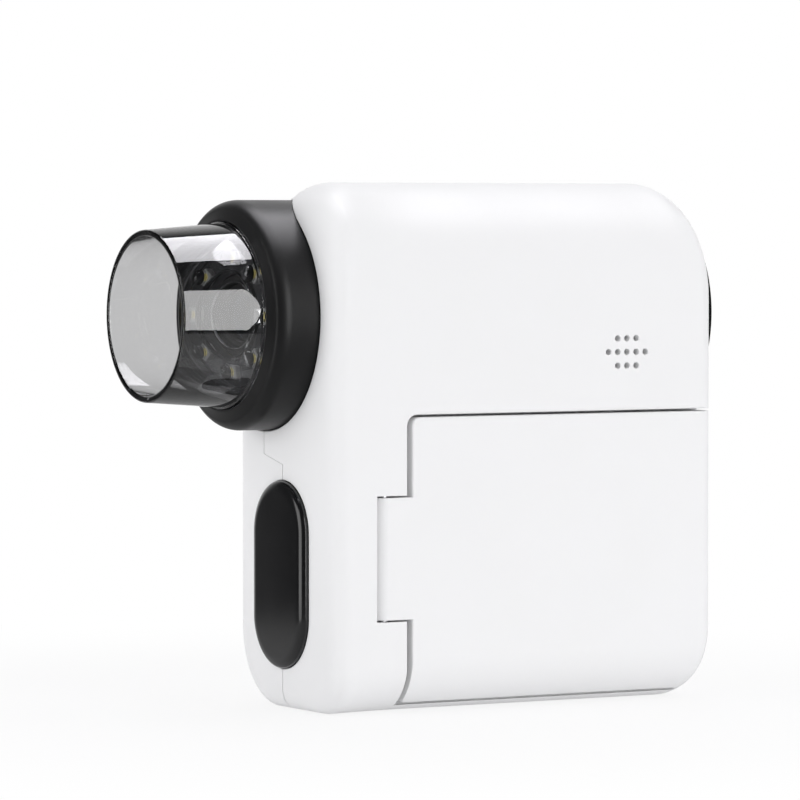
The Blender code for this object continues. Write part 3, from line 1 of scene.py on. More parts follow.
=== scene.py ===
# %% [markdown]
# # A handheld digital microscope, dressed
# The real object lies in one hand: a white moulded housing with a fold-out screen on its side, a black
# focus ring and a clear light tube on its front, and a round black key plate on its rear. The
# construction is already made as solids, at real size and with real joints. This lesson gives those
# solids their fine surfaces and finishes.

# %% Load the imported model
import math

import bmesh
import bpy
from mathutils import Matrix, Vector
from mathutils.bvhtree import BVHTree
from mathutils.interpolate import poly_3d_calc


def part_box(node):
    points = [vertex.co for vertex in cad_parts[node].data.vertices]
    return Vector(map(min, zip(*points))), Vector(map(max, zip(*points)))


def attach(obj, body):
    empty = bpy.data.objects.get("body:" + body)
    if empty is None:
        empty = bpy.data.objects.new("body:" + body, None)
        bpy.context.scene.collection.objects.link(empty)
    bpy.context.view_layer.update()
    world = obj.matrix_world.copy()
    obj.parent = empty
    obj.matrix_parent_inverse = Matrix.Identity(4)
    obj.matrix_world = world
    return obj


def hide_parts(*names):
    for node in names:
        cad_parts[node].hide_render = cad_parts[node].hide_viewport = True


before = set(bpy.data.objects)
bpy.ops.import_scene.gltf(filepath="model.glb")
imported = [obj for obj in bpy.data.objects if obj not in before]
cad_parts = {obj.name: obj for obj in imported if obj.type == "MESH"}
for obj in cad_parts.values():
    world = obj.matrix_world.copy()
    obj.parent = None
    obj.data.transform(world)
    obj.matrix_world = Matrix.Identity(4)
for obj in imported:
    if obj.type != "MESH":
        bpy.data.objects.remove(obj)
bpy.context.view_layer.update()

shell_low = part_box("grip_shell")[0]
ring_low, ring_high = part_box("focus_ring")
DATUM = Vector((shell_low.x, (ring_low.y + ring_high.y) / 2, 0))
LENS_HEIGHT = (ring_low.z + ring_high.z) / 2
print("datum", tuple(DATUM), "lens height", LENS_HEIGHT)

# %% [markdown]
# ## The camera
# The photograph was taken from far away with a long lens, a little above the lens of the microscope and
# about 30 degrees to one side. A camera could be placed by eye, but fitting it to the object's own
# outlines gives a distance, a direction and a focal length that can be trusted, so those values are
# written here.

# %% Camera
CAMERA_LENS = 225.0
CAMERA_AZIMUTH = math.radians(29.804)
CAMERA_PITCH = math.radians(2.134)
CAMERA_DISTANCE = 0.813188
CAMERA_TARGET = Vector((-0.001106, 0.00075, 0.048722))

look = Vector((
    math.cos(CAMERA_PITCH) * math.sin(CAMERA_AZIMUTH),
    math.cos(CAMERA_PITCH) * math.cos(CAMERA_AZIMUTH),
    -math.sin(CAMERA_PITCH),
))
camera_data = bpy.data.cameras.new("camera")
camera_data.lens = CAMERA_LENS
camera_data.sensor_width = 36.0
camera = bpy.data.objects.new("camera", camera_data)
camera.location = CAMERA_TARGET - CAMERA_DISTANCE * look
camera.rotation_mode = "QUATERNION"
camera.rotation_quaternion = look.to_track_quat("-Z", "Y")
bpy.context.scene.collection.objects.link(camera)
bpy.context.scene.camera = camera
bpy.context.scene.view_settings.view_transform = "Standard"
print("camera at", tuple(camera.location))

# %% [markdown]
# ## Node helpers
# Materials are small networks of nodes. Writing each node out takes five lines, so one helper makes a
# node, sets its values and joins its inputs. A second helper opens a node group with named inputs and
# outputs, for the effects that several finishes share, and the others stand for the sums, mixtures and
# masks that come back most.

# %% Node helpers
def add(tree, kind, values=None, links=None, **settings):
    """A node of one kind, with its settings, its socket values and what is linked into it."""
    node = tree.nodes.new("ShaderNode" + kind)
    for setting, value in settings.items():
        setattr(node, setting, value)
    for socket, value in (values or {}).items():
        node.inputs[socket].default_value = value
    for socket, source in (links or {}).items():
        tree.links.new(source, node.inputs[socket])
    return node


def new_group(name, inputs, outputs):
    """An empty node group with number inputs and the given outputs, and its two end nodes."""
    group = bpy.data.node_groups.new(name, "ShaderNodeTree")
    for socket, value in inputs.items():
        made = group.interface.new_socket(name=socket, in_out="INPUT", socket_type="NodeSocketFloat")
        made.default_value = value
    for socket, kind in outputs.items():
        group.interface.new_socket(name=socket, in_out="OUTPUT", socket_type="NodeSocket" + kind)
    return group, group.nodes.new("NodeGroupInput"), group.nodes.new("NodeGroupOutput")


def reckon(tree, operation, first, second):
    """The outcome of a sum, product or comparison of two numbers or sockets."""
    parts = {0: first, 1: second}
    values = {index: part for index, part in parts.items() if isinstance(part, float)}
    links = {index: part for index, part in parts.items() if index not in values}
    return add(tree, "Math", values, links, operation=operation).outputs[0]


def mix_shaders(tree, share, first, second):
    """A mixture of two shader nodes by a share."""
    return add(tree, "MixShader", links={0: share, 1: first.outputs[0], 2: second.outputs[0]})


def seen_directly(tree):
    """A mask that is 1 for rays that show a thing to the eye: straight, in a gloss or through glass."""
    path = add(tree, "LightPath").outputs
    straight = reckon(tree, "MAXIMUM", path["Is Camera Ray"], path["Is Glossy Ray"])
    return reckon(tree, "MAXIMUM", straight, path["Is Transmission Ray"])


# %% [markdown]
# ## The room and the floor
# The photograph has a white ground with no edge. A brighter lamp would wash the white plastic out, so the
# white comes from what the eye sees and not from light: the room and the floor show plain white to the
# camera, while the light that they give to the object stays moderate. Gloss and glass show the white
# backdrop too, but only where it stands, behind the object. The rest of a studio is dim, and that is why
# black plastic looks black in it. Near the object the floor is partly an ordinary matt surface, which
# keeps the soft shadow under the housing.

# %% Room and floor
ROOM_LIGHT = 0.66
ROOM_DIM = 0.06
BACKDROP_EDGE = 0.50
BACKDROP_FULL = 0.88
FLOOR_RADIUS = 0.17
FLOOR_SEGMENTS = 96
FLOOR_DROP = 0.0001
FLOOR_NEAR = 0.05
FLOOR_FAR = 0.16
FLOOR_WHITE_SHARE = 0.80
FLOOR_GLOSS_LOSS = 0.5
FLOOR_BOUNCE = 0.35

world = bpy.data.worlds.new("studio")
bpy.context.scene.world = world
world.use_nodes = True
room = world.node_tree
room.nodes.clear()
room_light = add(room, "Background", {"Color": (0.98, 0.98, 1.0, 1), "Strength": ROOM_LIGHT})
room_white = add(room, "Background", {"Color": (1, 1, 1, 1), "Strength": 1.0})
room_dim = add(room, "Background", {"Color": (0.95, 0.96, 1.0, 1), "Strength": ROOM_DIM})
direction = add(room, "TexCoord")
toward = add(room, "VectorMath", {1: tuple(look)}, {0: direction.outputs["Generated"]},
             operation="DOT_PRODUCT")
backdrop = add(room, "MapRange", {"From Min": BACKDROP_EDGE, "From Max": BACKDROP_FULL},
               {"Value": toward.outputs["Value"]}, interpolation_type="SMOOTHSTEP")
reflected = mix_shaders(room, backdrop.outputs[0], room_dim, room_white)
room_path = add(room, "LightPath").outputs
bent = reckon(room, "MAXIMUM", room_path["Is Glossy Ray"], room_path["Is Transmission Ray"])
room_bent = mix_shaders(room, bent, room_light, reflected)
room_mix = mix_shaders(room, room_path["Is Camera Ray"], room_bent, room_white)
add(room, "OutputWorld", links={"Surface": room_mix.outputs[0]})

floor_finish = bpy.data.materials.new("pale_floor")
floor_finish.use_nodes = True
tree = floor_finish.node_tree
tree.nodes.clear()
matt = add(tree, "BsdfDiffuse", {"Color": (0.90, 0.90, 0.91, 1)})
floor_path = add(tree, "LightPath").outputs
floor_loss = reckon(tree, "MULTIPLY", floor_path["Is Glossy Ray"], FLOOR_GLOSS_LOSS)
floor_level = reckon(tree, "SUBTRACT", 1.0, floor_loss)
plain_white = add(tree, "Emission", {"Color": (1, 1, 1, 1)}, {"Strength": floor_level})
place = add(tree, "NewGeometry")
distance = add(tree, "VectorMath", links={0: place.outputs["Position"]}, operation="LENGTH")
fade = add(tree, "MapRange",
           {"From Min": FLOOR_NEAR, "From Max": FLOOR_FAR, "To Min": FLOOR_WHITE_SHARE, "To Max": 1.0},
           {"Value": distance.outputs["Value"]}, interpolation_type="SMOOTHSTEP")
bounce = reckon(tree, "MULTIPLY", floor_path["Is Diffuse Ray"], FLOOR_BOUNCE)
shows = reckon(tree, "MAXIMUM", seen_directly(tree), bounce)
white_share = reckon(tree, "MULTIPLY", shows, fade.outputs[0])
floor_mix = mix_shaders(tree, white_share, matt, plain_white)
add(tree, "OutputMaterial", links={"Surface": floor_mix.outputs[0]})

builder = bmesh.new()
bmesh.ops.create_circle(builder, cap_ends=True, segments=FLOOR_SEGMENTS, radius=FLOOR_RADIUS)
floor_mesh = bpy.data.meshes.new("floor")
builder.to_mesh(floor_mesh)
builder.free()
floor_mesh.materials.append(floor_finish)
floor = bpy.data.objects.new("floor", floor_mesh)
floor.location = (0, 0, -FLOOR_DROP)
bpy.context.scene.collection.objects.link(floor)
print("floor radius", FLOOR_RADIUS)

# %% [markdown]
# ## The lamps
# The bright bands in the clear tube and on the black ring are pictures of the lamps, so each lamp can be
# found from them: at every point of a cylinder the eye's ray bounces off in a known direction. The bands
# on the tube's top give a long softbox overhead, the grey patch in its middle an upright one at the right
# of the camera. Two weaker ones light the front face and the palm side. Each lamp is given by its place
# round the lens, its size and how bright its face is, where 1 is as bright as white paper. The bands in
# gloss are brighter than the soft light on the white plastic allows, as if a bright card stood in front
# of a dimmer lamp, so a lamp may have a second, brighter face for gloss.

# %% Lamps
LENS_POINT = Vector((DATUM.x, DATUM.y, LENS_HEIGHT))
PLAIN_WHITE = (1, 1, 1)
COOL_WHITE = (0.99, 0.99, 1.0)
CARD_WHITE = (0.97, 0.96, 1.0)


def softbox(name, place, aim, width, height, brightness, tint=PLAIN_WHITE, lights=True, shines=True):
    """An oblong lamp at a place, turned towards a point, both measured from the middle of the lens."""
    data = bpy.data.lights.new(name, "AREA")
    data.shape = "RECTANGLE"
    data.size = width
    data.size_y = height
    data.color = tint
    data.energy = brightness * math.pi * width * height
    lamp = bpy.data.objects.new(name, data)
    lamp.location = LENS_POINT + Vector(place)
    lamp.rotation_mode = "QUATERNION"
    lamp.rotation_quaternion = (Vector(aim) - Vector(place)).to_track_quat("-Z", "Y")
    lamp.visible_camera = False
    lamp.visible_diffuse = lights
    lamp.visible_glossy = shines
    lamp.visible_transmission = shines
    bpy.context.scene.collection.objects.link(lamp)
    return lamp


softbox("lamp_top", (0.090, 0.078, 0.602), (0.090, 0, 0), 0.31, 0.54, 1.0, COOL_WHITE, shines=False)
softbox("card_top", (0.110, 0.072, 0.600), (0.110, 0, 0), 0.62, 0.54, 9.0, CARD_WHITE, lights=False)
softbox("lamp_right", (0.180, -0.580, 0.170), (0.050, 0, 0), 0.25, 0.555, 3.3, shines=False)
softbox("card_right", (0.071, -0.590, 0.083), (0.071, 0, 0), 0.25, 0.545, 7.0, lights=False)
softbox("lamp_left", (-0.61, 0.14, -0.02), (0, 0, -0.02), 0.34, 0.60, 2.8)
softbox("lamp_rear", (0.30, 0.62, 0.25), (0.05, 0, -0.02), 0.40, 0.50, 1.3, shines=False)

# %% [markdown]
# ## Effects that the finishes share
# Moulded plastic is never perfectly even. Three groups hold what the finishes have in common: a fine
# grain that changes the gloss and lifts the surface by a few thousandths of a millimetre, edges that are
# a little rounded and painted lighter, which is a painted highlight along every edge and crease, and a
# trace of dust and fingerprints. Each is built once and then used with other values.

# %% Fine grain
grain, enter, leave = new_group("fine_grain", {"Size": 0.0003, "Roughness": 0.4, "Spread": 0.05},
                                {"Height": "Float", "Roughness": "Float"})
where = add(grain, "TexCoord")
per_metre = reckon(grain, "DIVIDE", 1.0, enter.outputs["Size"])
fine = add(grain, "TexNoise", {"Detail": 3.0, "Roughness": 0.6},
           {"Vector": where.outputs["Object"], "Scale": per_metre})
broad = add(grain, "TexNoise", {"Scale": 90.0, "Detail": 4.0}, {"Vector": where.outputs["Object"]})
low = reckon(grain, "SUBTRACT", enter.outputs["Roughness"], enter.outputs["Spread"])
high = reckon(grain, "ADD", enter.outputs["Roughness"], enter.outputs["Spread"])
gloss = add(grain, "MapRange", {"From Min": 0.3, "From Max": 0.7},
            {"Value": broad.outputs["Fac"], "To Min": low, "To Max": high})
grain.links.new(fine.outputs["Fac"], leave.inputs["Height"])
grain.links.new(gloss.outputs[0], leave.inputs["Roughness"])

# %% Rounded edges with a painted highlight
rounded_edges_and_highlight, enter, leave = new_group("soft_edges_painted_highlight", {"Radius": 0.0002}, {"Mask": "Float", "Normal": "Vector"})
rounded = add(rounded_edges_and_highlight, "Bevel", links={"Radius": enter.outputs["Radius"]}, samples=6)
surface = add(rounded_edges_and_highlight, "NewGeometry")
agree = add(rounded_edges_and_highlight, "VectorMath", links={0: rounded.outputs[0], 1: surface.outputs["Normal"]},
            operation="DOT_PRODUCT")
# The mask is 1 where the rounded normal turns from the face, so the colour drawn from it is a painted
# highlight along every edge and crease.
painted_edge_highlight = add(rounded_edges_and_highlight, "MapRange", {"From Min": 0.99, "From Max": 0.80}, {"Value": agree.outputs["Value"]})
rounded_edges_and_highlight.links.new(painted_edge_highlight.outputs[0], leave.inputs["Mask"])
rounded_edges_and_highlight.links.new(rounded.outputs[0], leave.inputs["Normal"])

# %% Dust and fingerprints
marks, enter, leave = new_group("light_marks", {"Amount": 0.1}, {"Mask": "Float"})
where = add(marks, "TexCoord")
cloud = add(marks, "TexNoise", {"Scale": 60.0, "Detail": 2.0}, {"Vector": where.outputs["Object"]})
speck = add(marks, "TexNoise", {"Scale": 1400.0, "Detail": 5.0, "Roughness": 0.7},
            {"Vector": where.outputs["Object"]})
cloud_mask = add(marks, "MapRange", {"From Min": 0.45, "From Max": 0.75}, {"Value": cloud.outputs["Fac"]})
speck_mask = add(marks, "MapRange", {"From Min": 0.60, "From Max": 0.75}, {"Value": speck.outputs["Fac"]})
both = reckon(marks, "MAXIMUM", cloud_mask.outputs[0], speck_mask.outputs[0])
marks.links.new(reckon(marks, "MULTIPLY", both, enter.outputs["Amount"]), leave.inputs["Mask"])
print("node groups", [group.name for group in bpy.data.node_groups])

# %% [markdown]
# ## The finishes
# Every finish is one Principled shader with the shared groups in front of it. The housing is a pale
# plastic with a fine spark-eroded grain. The ring is satin black, the plaque and the key plate are
# polished black. The clear parts are acrylic: a little smoky, with plain transmission. What differs is
# only colour, gloss and scale, so one function makes them all.

# %% Make a finish
finishes = {}


def group_node(tree, group, **values):
    """A shared group placed in a material, with its own values."""
    node = add(tree, "Group", node_tree=group)
    for socket, value in values.items():
        node.inputs[socket].default_value = value
    return node


def blend_colours(tree, share, first, second):
    """The first colour, or a socket, with a share of the second mixed into it."""
    mix = add(tree, "Mix", data_type="RGBA")
    tree.links.new(share, mix.inputs["Factor"])
    if isinstance(first, tuple):
        mix.inputs[6].default_value = (*first, 1)
    else:
        tree.links.new(first, mix.inputs[6])
    mix.inputs[7].default_value = (*second, 1)
    return mix.outputs[2]


def make_finish(slot, colour, roughness, spread=0.04, grain_size=0.0003, grain_lift=0.000003,
                edge_radius=0.0002, edge_tone_and_highlight_colour=None, mark_colour=None, mark_amount=0.05, **constants):
    """A material for one slot: its colour and gloss, with grain, soft edges with a painted highlight along
    them, and light marks.
    """
    made = bpy.data.materials.new(slot)
    made.use_nodes = True
    tree = made.node_tree
    shader = tree.nodes["Principled BSDF"]
    surface_grain = group_node(tree, grain, Size=grain_size, Roughness=roughness, Spread=spread)
    edge_normal_and_highlight = group_node(tree, rounded_edges_and_highlight, Radius=edge_radius)
    mark = group_node(tree, marks, Amount=mark_amount)
    # Painted highlight: the base colour turns lighter along edges and creases; on the boards the edge colour
    # is their own edge tone.
    with_edge_highlight = blend_colours(tree, edge_normal_and_highlight.outputs["Mask"], colour, edge_tone_and_highlight_colour or colour)
    marked = blend_colours(tree, mark.outputs["Mask"], with_edge_highlight, mark_colour or colour)
    lift = add(tree, "Bump", {"Strength": 1.0, "Distance": grain_lift},
               {"Height": surface_grain.outputs["Height"], "Normal": edge_normal_and_highlight.outputs["Normal"]})
    tree.links.new(marked, shader.inputs["Base Color"])
    tree.links.new(surface_grain.outputs["Roughness"], shader.inputs["Roughness"])
    tree.links.new(lift.outputs[0], shader.inputs["Normal"])
    for socket, value in constants.items():
        shader.inputs[socket.replace("_", " ")].default_value = value
    finishes[slot] = made
    return made


# %% Plastics
# The lighter edge colours of these plastics are painted highlights along their edges.
make_finish("white_shell", (0.85, 0.85, 0.852), 0.48, grain_size=0.00035, grain_lift=0.000004,
            edge_tone_and_highlight_colour=(0.88, 0.88, 0.882), mark_colour=(0.82, 0.82, 0.815), mark_amount=0.25,
            Specular_IOR_Level=0.15)
make_finish("satin_black", (0.010, 0.010, 0.0105), 0.37, 0.04, grain_size=0.00025, grain_lift=0.000006,
            edge_tone_and_highlight_colour=(0.022, 0.022, 0.023), mark_colour=(0.022, 0.0215, 0.021), mark_amount=0.25,
            Specular_IOR_Level=0.16)
make_finish("gloss_black", (0.006, 0.006, 0.0065), 0.16, 0.03, grain_size=0.002, grain_lift=0.000001,
            edge_tone_and_highlight_colour=(0.014, 0.014, 0.015), mark_colour=(0.012, 0.012, 0.012), mark_amount=0.3)
make_finish("inner_black", (0.010, 0.010, 0.010), 0.60, 0.06, grain_size=0.0004, grain_lift=0.00001,
            edge_tone_and_highlight_colour=(0.020, 0.020, 0.020), mark_colour=(0.02, 0.02, 0.019), mark_amount=0.3,
            Specular_IOR_Level=0.25)
make_finish("key_rubber", (0.10, 0.10, 0.105), 0.75, 0.06, grain_lift=0.000008,
            mark_colour=(0.15, 0.15, 0.15))
make_finish("display", (0.006, 0.007, 0.011), 0.14, 0.02, grain_size=0.0005, grain_lift=0.0000005,
            mark_colour=(0.010, 0.012, 0.018), mark_amount=0.4, Coat_Weight=0.3)

# %% Boards, metal and chips
# The boards' edge colours are their own tone at the cut edge; those of the chip, the foil and the steel are
# painted highlights.
make_finish("board_green", (0.018, 0.13, 0.055), 0.42, 0.08, grain_size=0.0012, grain_lift=0.00002,
            edge_tone_and_highlight_colour=(0.30, 0.26, 0.12), mark_colour=(0.010, 0.085, 0.035), mark_amount=0.9)
make_finish("board_black", (0.014, 0.014, 0.016), 0.38, 0.06, grain_size=0.0010, grain_lift=0.00001,
            edge_tone_and_highlight_colour=(0.06, 0.055, 0.045), mark_colour=(0.024, 0.024, 0.026), mark_amount=0.6)
make_finish("chip", (0.030, 0.030, 0.032), 0.50, 0.06, grain_lift=0.000006, edge_tone_and_highlight_colour=(0.07, 0.07, 0.07),
            mark_colour=(0.05, 0.05, 0.05))
make_finish("battery_foil", (0.62, 0.63, 0.66), 0.34, 0.08, grain_size=0.0018, grain_lift=0.00003,
            edge_tone_and_highlight_colour=(0.75, 0.75, 0.77), mark_colour=(0.5, 0.51, 0.53), mark_amount=0.4, Metallic=0.85)
make_finish("steel", (0.58, 0.58, 0.60), 0.27, 0.07, grain_size=0.0005, grain_lift=0.000003,
            edge_tone_and_highlight_colour=(0.75, 0.75, 0.76), mark_colour=(0.42, 0.41, 0.40), mark_amount=0.3, Metallic=1.0)
make_finish("light_phosphor", (0.86, 0.72, 0.20), 0.40, 0.05, grain_size=0.0002, grain_lift=0.00001,
            mark_colour=(0.95, 0.85, 0.40), mark_amount=0.5)
make_finish("white_ceramic", (0.40, 0.40, 0.39), 0.45, 0.05, grain_size=0.0002, grain_lift=0.000004)
make_finish("symbol_white", (0.75, 0.75, 0.76), 0.45, 0.04, grain_size=0.0002, grain_lift=0.000002)
print("finishes", sorted(finishes))

# %% [markdown]
# ## Clear finishes
# Light has to pass through the tube to the lights and the lens behind it. A glass shader alone blocks the
# lamps' shadow rays, so the inside would turn black. The clear finishes therefore let shadow rays
# straight through, tinted, by mixing in a transparent shader for those rays only.

# %% Clear plastic and glass
FLOW_SIZE = 0.006
FLOW_LIFT = 0.000004


def make_clear(slot, colour, roughness, shade, index, **constants):
    """A clear material: Principled with full transmission, and a tinted pass for shadow rays."""
    made = bpy.data.materials.new(slot)
    made.use_nodes = True
    tree = made.node_tree
    shader = tree.nodes["Principled BSDF"]
    constants.update({"Base Color": (*colour, 1), "Transmission Weight": 1.0, "IOR": index})
    for socket, value in constants.items():
        shader.inputs[socket.replace("_", " ")].default_value = value
    flow = group_node(tree, grain, Size=FLOW_SIZE, Roughness=roughness, Spread=roughness / 2)
    lift = add(tree, "Bump", {"Strength": 1.0, "Distance": FLOW_LIFT}, {"Height": flow.outputs["Height"]})
    tree.links.new(flow.outputs["Roughness"], shader.inputs["Roughness"])
    tree.links.new(lift.outputs[0], shader.inputs["Normal"])
    path = add(tree, "LightPath")
    through = add(tree, "BsdfTransparent", {"Color": (*shade, 1)})
    mix = mix_shaders(tree, path.outputs["Is Shadow Ray"], shader, through)
    tree.links.new(mix.outputs[0], tree.nodes["Material Output"].inputs["Surface"])
    finishes[slot] = made
    return made


make_clear("clear_plastic", (0.57, 0.57, 0.575), 0.006, (0.78, 0.78, 0.785), 1.58)
make_clear("clear_cover", (0.93, 0.94, 0.95), 0.008, (0.90, 0.90, 0.90), 1.49)
make_clear("lens_glass", (0.85, 0.90, 0.97), 0.005, (0.85, 0.88, 0.92), 1.52, Thin_Film_Thickness=420.0,
           Thin_Film_IOR=1.38)
print("clear finishes ready")

# %% [markdown]
# ## Shapes from formulas
# Nearly everything here is either turned about the lens axis or lofted through outlines. Real moulded and
# turned pieces have no knife edges, so a helper rounds the corners of any outline with arcs. Boolean cuts
# then do what a mould's inserts do. All shapes are drawn in the datum frame: x runs back from the front
# plane of the housing, y from the screen side to the palm side.

# %% Outline helpers
ARC_STEPS = 5
FEW_STEPS = 3
OBLONG_STEPS = 8
STRAIGHT_ANGLE = 1e-4


def quarter(steps):
    """Sine and cosine at even steps of a quarter turn, from 0 to 90 degrees."""
    angles = [math.radians(90 * step / steps) for step in range(steps + 1)]
    return [(math.sin(angle), math.cos(angle)) for angle in angles]


def filleted(corners, steps=ARC_STEPS):
    """A closed outline of (a, b, fillet) corners, with an arc of that radius in each corner that has one."""
    points = []
    for index, (a, b, fillet) in enumerate(corners):
        here = Vector((a, b))
        if not fillet:
            points.append(here)
            continue
        back = (Vector(corners[index - 1][:2]) - here).normalized()
        on = (Vector(corners[(index + 1) % len(corners)][:2]) - here).normalized()
        half = back.angle(on) / 2
        reach = fillet / math.tan(half)
        centre = here + (back + on).normalized() * fillet / math.sin(half)
        start, end = here + back * reach - centre, here + on * reach - centre
        for step in range(steps + 1):
            share = step / steps
            straight = start.angle(end) < STRAIGHT_ANGLE
            direction = start.lerp(end, share) if straight else start.slerp(end, share)
            points.append(centre + direction.normalized() * fillet)
    return points


def oblong(centre, width, height, radius, grow=0.0, steps=OBLONG_STEPS):
    """A rectangle with round corners, grown outwards by an amount."""
    half_a, half_b = width / 2 + grow, height / 2 + grow
    a, b = centre
    signs = ((1, 1), (-1, 1), (-1, -1), (1, -1))
    return filleted([(a + p * half_a, b + q * half_b, radius + grow) for p, q in signs], steps)


# %% Solid helpers
TURN_SEGMENTS = 160
FINE_SEGMENTS = 224
COARSE_SEGMENTS = 128
ROD_SEGMENTS = 48
SMALL_SEGMENTS = 40
POST_SEGMENTS = 32
PIN_SEGMENTS = 24
WELD = 1e-7


def held(name, builder):
    """A working object from a finished bmesh, still in the datum frame."""
    bmesh.ops.remove_doubles(builder, verts=builder.verts, dist=WELD)
    builder.normal_update()
    bmesh.ops.recalc_face_normals(builder, faces=builder.faces)
    mesh = bpy.data.meshes.new(name)
    builder.to_mesh(mesh)
    builder.free()
    made = bpy.data.objects.new(name, mesh)
    bpy.context.scene.collection.objects.link(made)
    return made


def loft(name, rings):
    """A closed skin over rings of points, capped at both ends."""
    builder = bmesh.new()
    rows = [[builder.verts.new(point) for point in ring] for ring in rings]
    count = len(rows[0])
    for first, second in zip(rows, rows[1:]):
        for index in range(count):
            following = (index + 1) % count
            builder.faces.new((first[index], first[following], second[following], second[index]))
    builder.faces.new(rows[0])
    builder.faces.new(rows[-1])
    return held(name, builder)


def turned(name, profile, segments=TURN_SEGMENTS, centre=None):
    """A closed (x, radius) profile turned about a line along x, solid if it starts and ends at radius 0."""
    middle = Vector(centre or (0, 0, LENS_HEIGHT))
    solid = profile[0][1] == 0 and profile[-1][1] == 0
    body = profile[1:-1] if solid else profile
    builder = bmesh.new()
    rows = []
    for index in range(segments):
        angle = 2 * math.pi * (index + 0.5) / segments
        across = Vector((0, math.cos(angle), math.sin(angle)))
        spots = [middle + Vector((x, 0, 0)) + radius * across for x, radius in body]
        rows.append([builder.verts.new(spot) for spot in spots])
    ends = (0, -1) if solid else ()
    poles = [builder.verts.new(middle + Vector((profile[end][0], 0, 0))) for end in ends]
    for index, row in enumerate(rows):
        following = rows[(index + 1) % segments]
        for step in (range(len(body) - 1) if solid else range(-1, len(body) - 1)):
            builder.faces.new((row[step], row[step + 1], following[step + 1], following[step]))
        if solid:
            builder.faces.new((poles[0], row[0], following[0]))
            builder.faces.new((poles[1], following[-1], row[-1]))
    return held(name, builder)


def prism(name, outline, axis, levels):
    """An outline, or a function of the growth, carried along an axis through (place, growth) levels."""
    lift = {"x": lambda p, q, place: (place, p, q), "y": lambda p, q, place: (p, place, q)}[axis]
    rings = []
    for place, growth in levels:
        points = outline(growth) if callable(outline) else outline
        rings.append([lift(p, q, place) for p, q in points])
    return loft(name, rings)


def plate(name, centre, width, height, radius, axis, levels, steps=OBLONG_STEPS):
    """A rectangle with round corners, carried along an axis through (place, growth) levels."""
    return prism(name, lambda grow: oblong(centre, width, height, radius, grow, steps), axis, levels)


def rod(name, start, direction, length, radius, segments=ROD_SEGMENTS):
    """A round bar from a point along a direction."""
    builder = bmesh.new()
    bmesh.ops.create_cone(builder, cap_ends=True, segments=segments, radius1=radius, radius2=radius,
                          depth=length)
    along = Vector(direction).normalized()
    turn = along.to_track_quat("Z", "Y").to_matrix().to_4x4()
    builder.transform(Matrix.Translation(Vector(start) + along * length / 2) @ turn)
    return held(name, builder)


def block(name, low, high):
    """A plain block between two corners, used only to cut with."""
    builder = bmesh.new()
    bmesh.ops.create_cube(builder, size=1)
    size = Vector(high) - Vector(low)
    builder.transform(Matrix.Translation((Vector(high) + Vector(low)) / 2) @ Matrix.Diagonal((*size, 1)))
    return held(name, builder)


# %% Joining and cutting
def combine(target, tool, operation):
    """Joins, cuts or intersects the target with a tool, and removes the tool."""
    modifier = target.modifiers.new(operation.lower(), "BOOLEAN")
    modifier.operation = operation
    modifier.solver = "EXACT"
    modifier.object = tool
    done = bpy.data.meshes.new_from_object(target.evaluated_get(bpy.context.evaluated_depsgraph_get()))
    target.modifiers.remove(modifier)
    target.data = done
    bpy.data.objects.remove(tool)
    return target


def cut(target, *tools):
    """Takes each tool's space out of the target."""
    for tool in tools:
        combine(target, tool, "DIFFERENCE")
    return target


def gathered(name, things):
    """Several working objects that don't touch, as one object, so that one cut does for all of them."""
    builder = bmesh.new()
    for thing in things:
        builder.from_mesh(thing.data)
        bpy.data.objects.remove(thing)
    return held(name, builder)


def duplicate(thing, name):
    """A second working object with its own mesh."""
    made = bpy.data.objects.new(name, thing.data.copy())
    bpy.context.scene.collection.objects.link(made)
    return made


# %% Dressing a piece
SAME_WAY = 0.9
SHARP_ANGLE = 32


def smoothed_by(thing, form, reach=0.00002):
    """Gives the faces on a smooth form that form's own normals, so that cuts don't mark the shading."""
    faces = form.data.polygons
    corners = [[form.data.vertices[i].co for i in face.vertices] for face in faces]
    normals = [[form.data.vertices[i].normal for i in face.vertices] for face in faces]
    search = BVHTree.FromPolygons([v.co for v in form.data.vertices], [list(f.vertices) for f in faces])
    mesh = thing.data
    wanted = [Vector((0, 0, 0))] * len(mesh.loops)
    for face in mesh.polygons:
        place, normal, index, gap = search.find_nearest(face.center)
        if gap > reach or face.normal.dot(normal) < SAME_WAY:
            continue
        for loop in face.loop_indices:
            point = mesh.vertices[mesh.loops[loop].vertex_index].co
            place, normal, index, gap = search.find_nearest(point)
            weights = poly_3d_calc(corners[index], place)
            wanted[loop] = sum((w * n for w, n in zip(weights, normals[index])), Vector()).normalized()
    mesh.normals_split_custom_set(wanted)


def dress(thing, finish, body, *nodes, slot=None, smooth=SHARP_ANGLE, form=None):
    """Moves a working object to its place, shades it, and lets it ride on its body in place of the nodes."""
    mesh = thing.data
    mesh.shade_smooth()
    mesh.set_sharp_from_angle(angle=math.radians(smooth))
    if form:
        smoothed_by(thing, form)
    mesh.transform(Matrix.Translation(DATUM))
    mesh.materials.clear()
    mesh.materials.append(finishes[finish])
    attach(thing, body)
    if nodes:
        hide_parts(*nodes)
        low, high = (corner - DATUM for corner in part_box(nodes[0]))
        span = [Vector(c) - DATUM for c in thing.bound_box]
        print(thing.name, len(mesh.polygons), "faces, low corner off by",
              [round(1000 * (min(c[i] for c in span) - low[i]), 2) for i in range(3)], "mm")
    return thing


# %% [markdown]
# ## The housing
# The real housing is two injection-moulded shells. One formula gives its cross section at every distance
# behind the front, each corner with its own radius, and the ends are rounded by letting the section
# shrink along a quarter circle. Where an end is too narrow for both top corners, they share the room
# there is, and in the front half the palm's corner keeps more of its radius. Sculpting could give a
# similar lump, but a formula keeps the surface even and lets the screen's cover be cut from the very same
# form, so that the two lie flush.

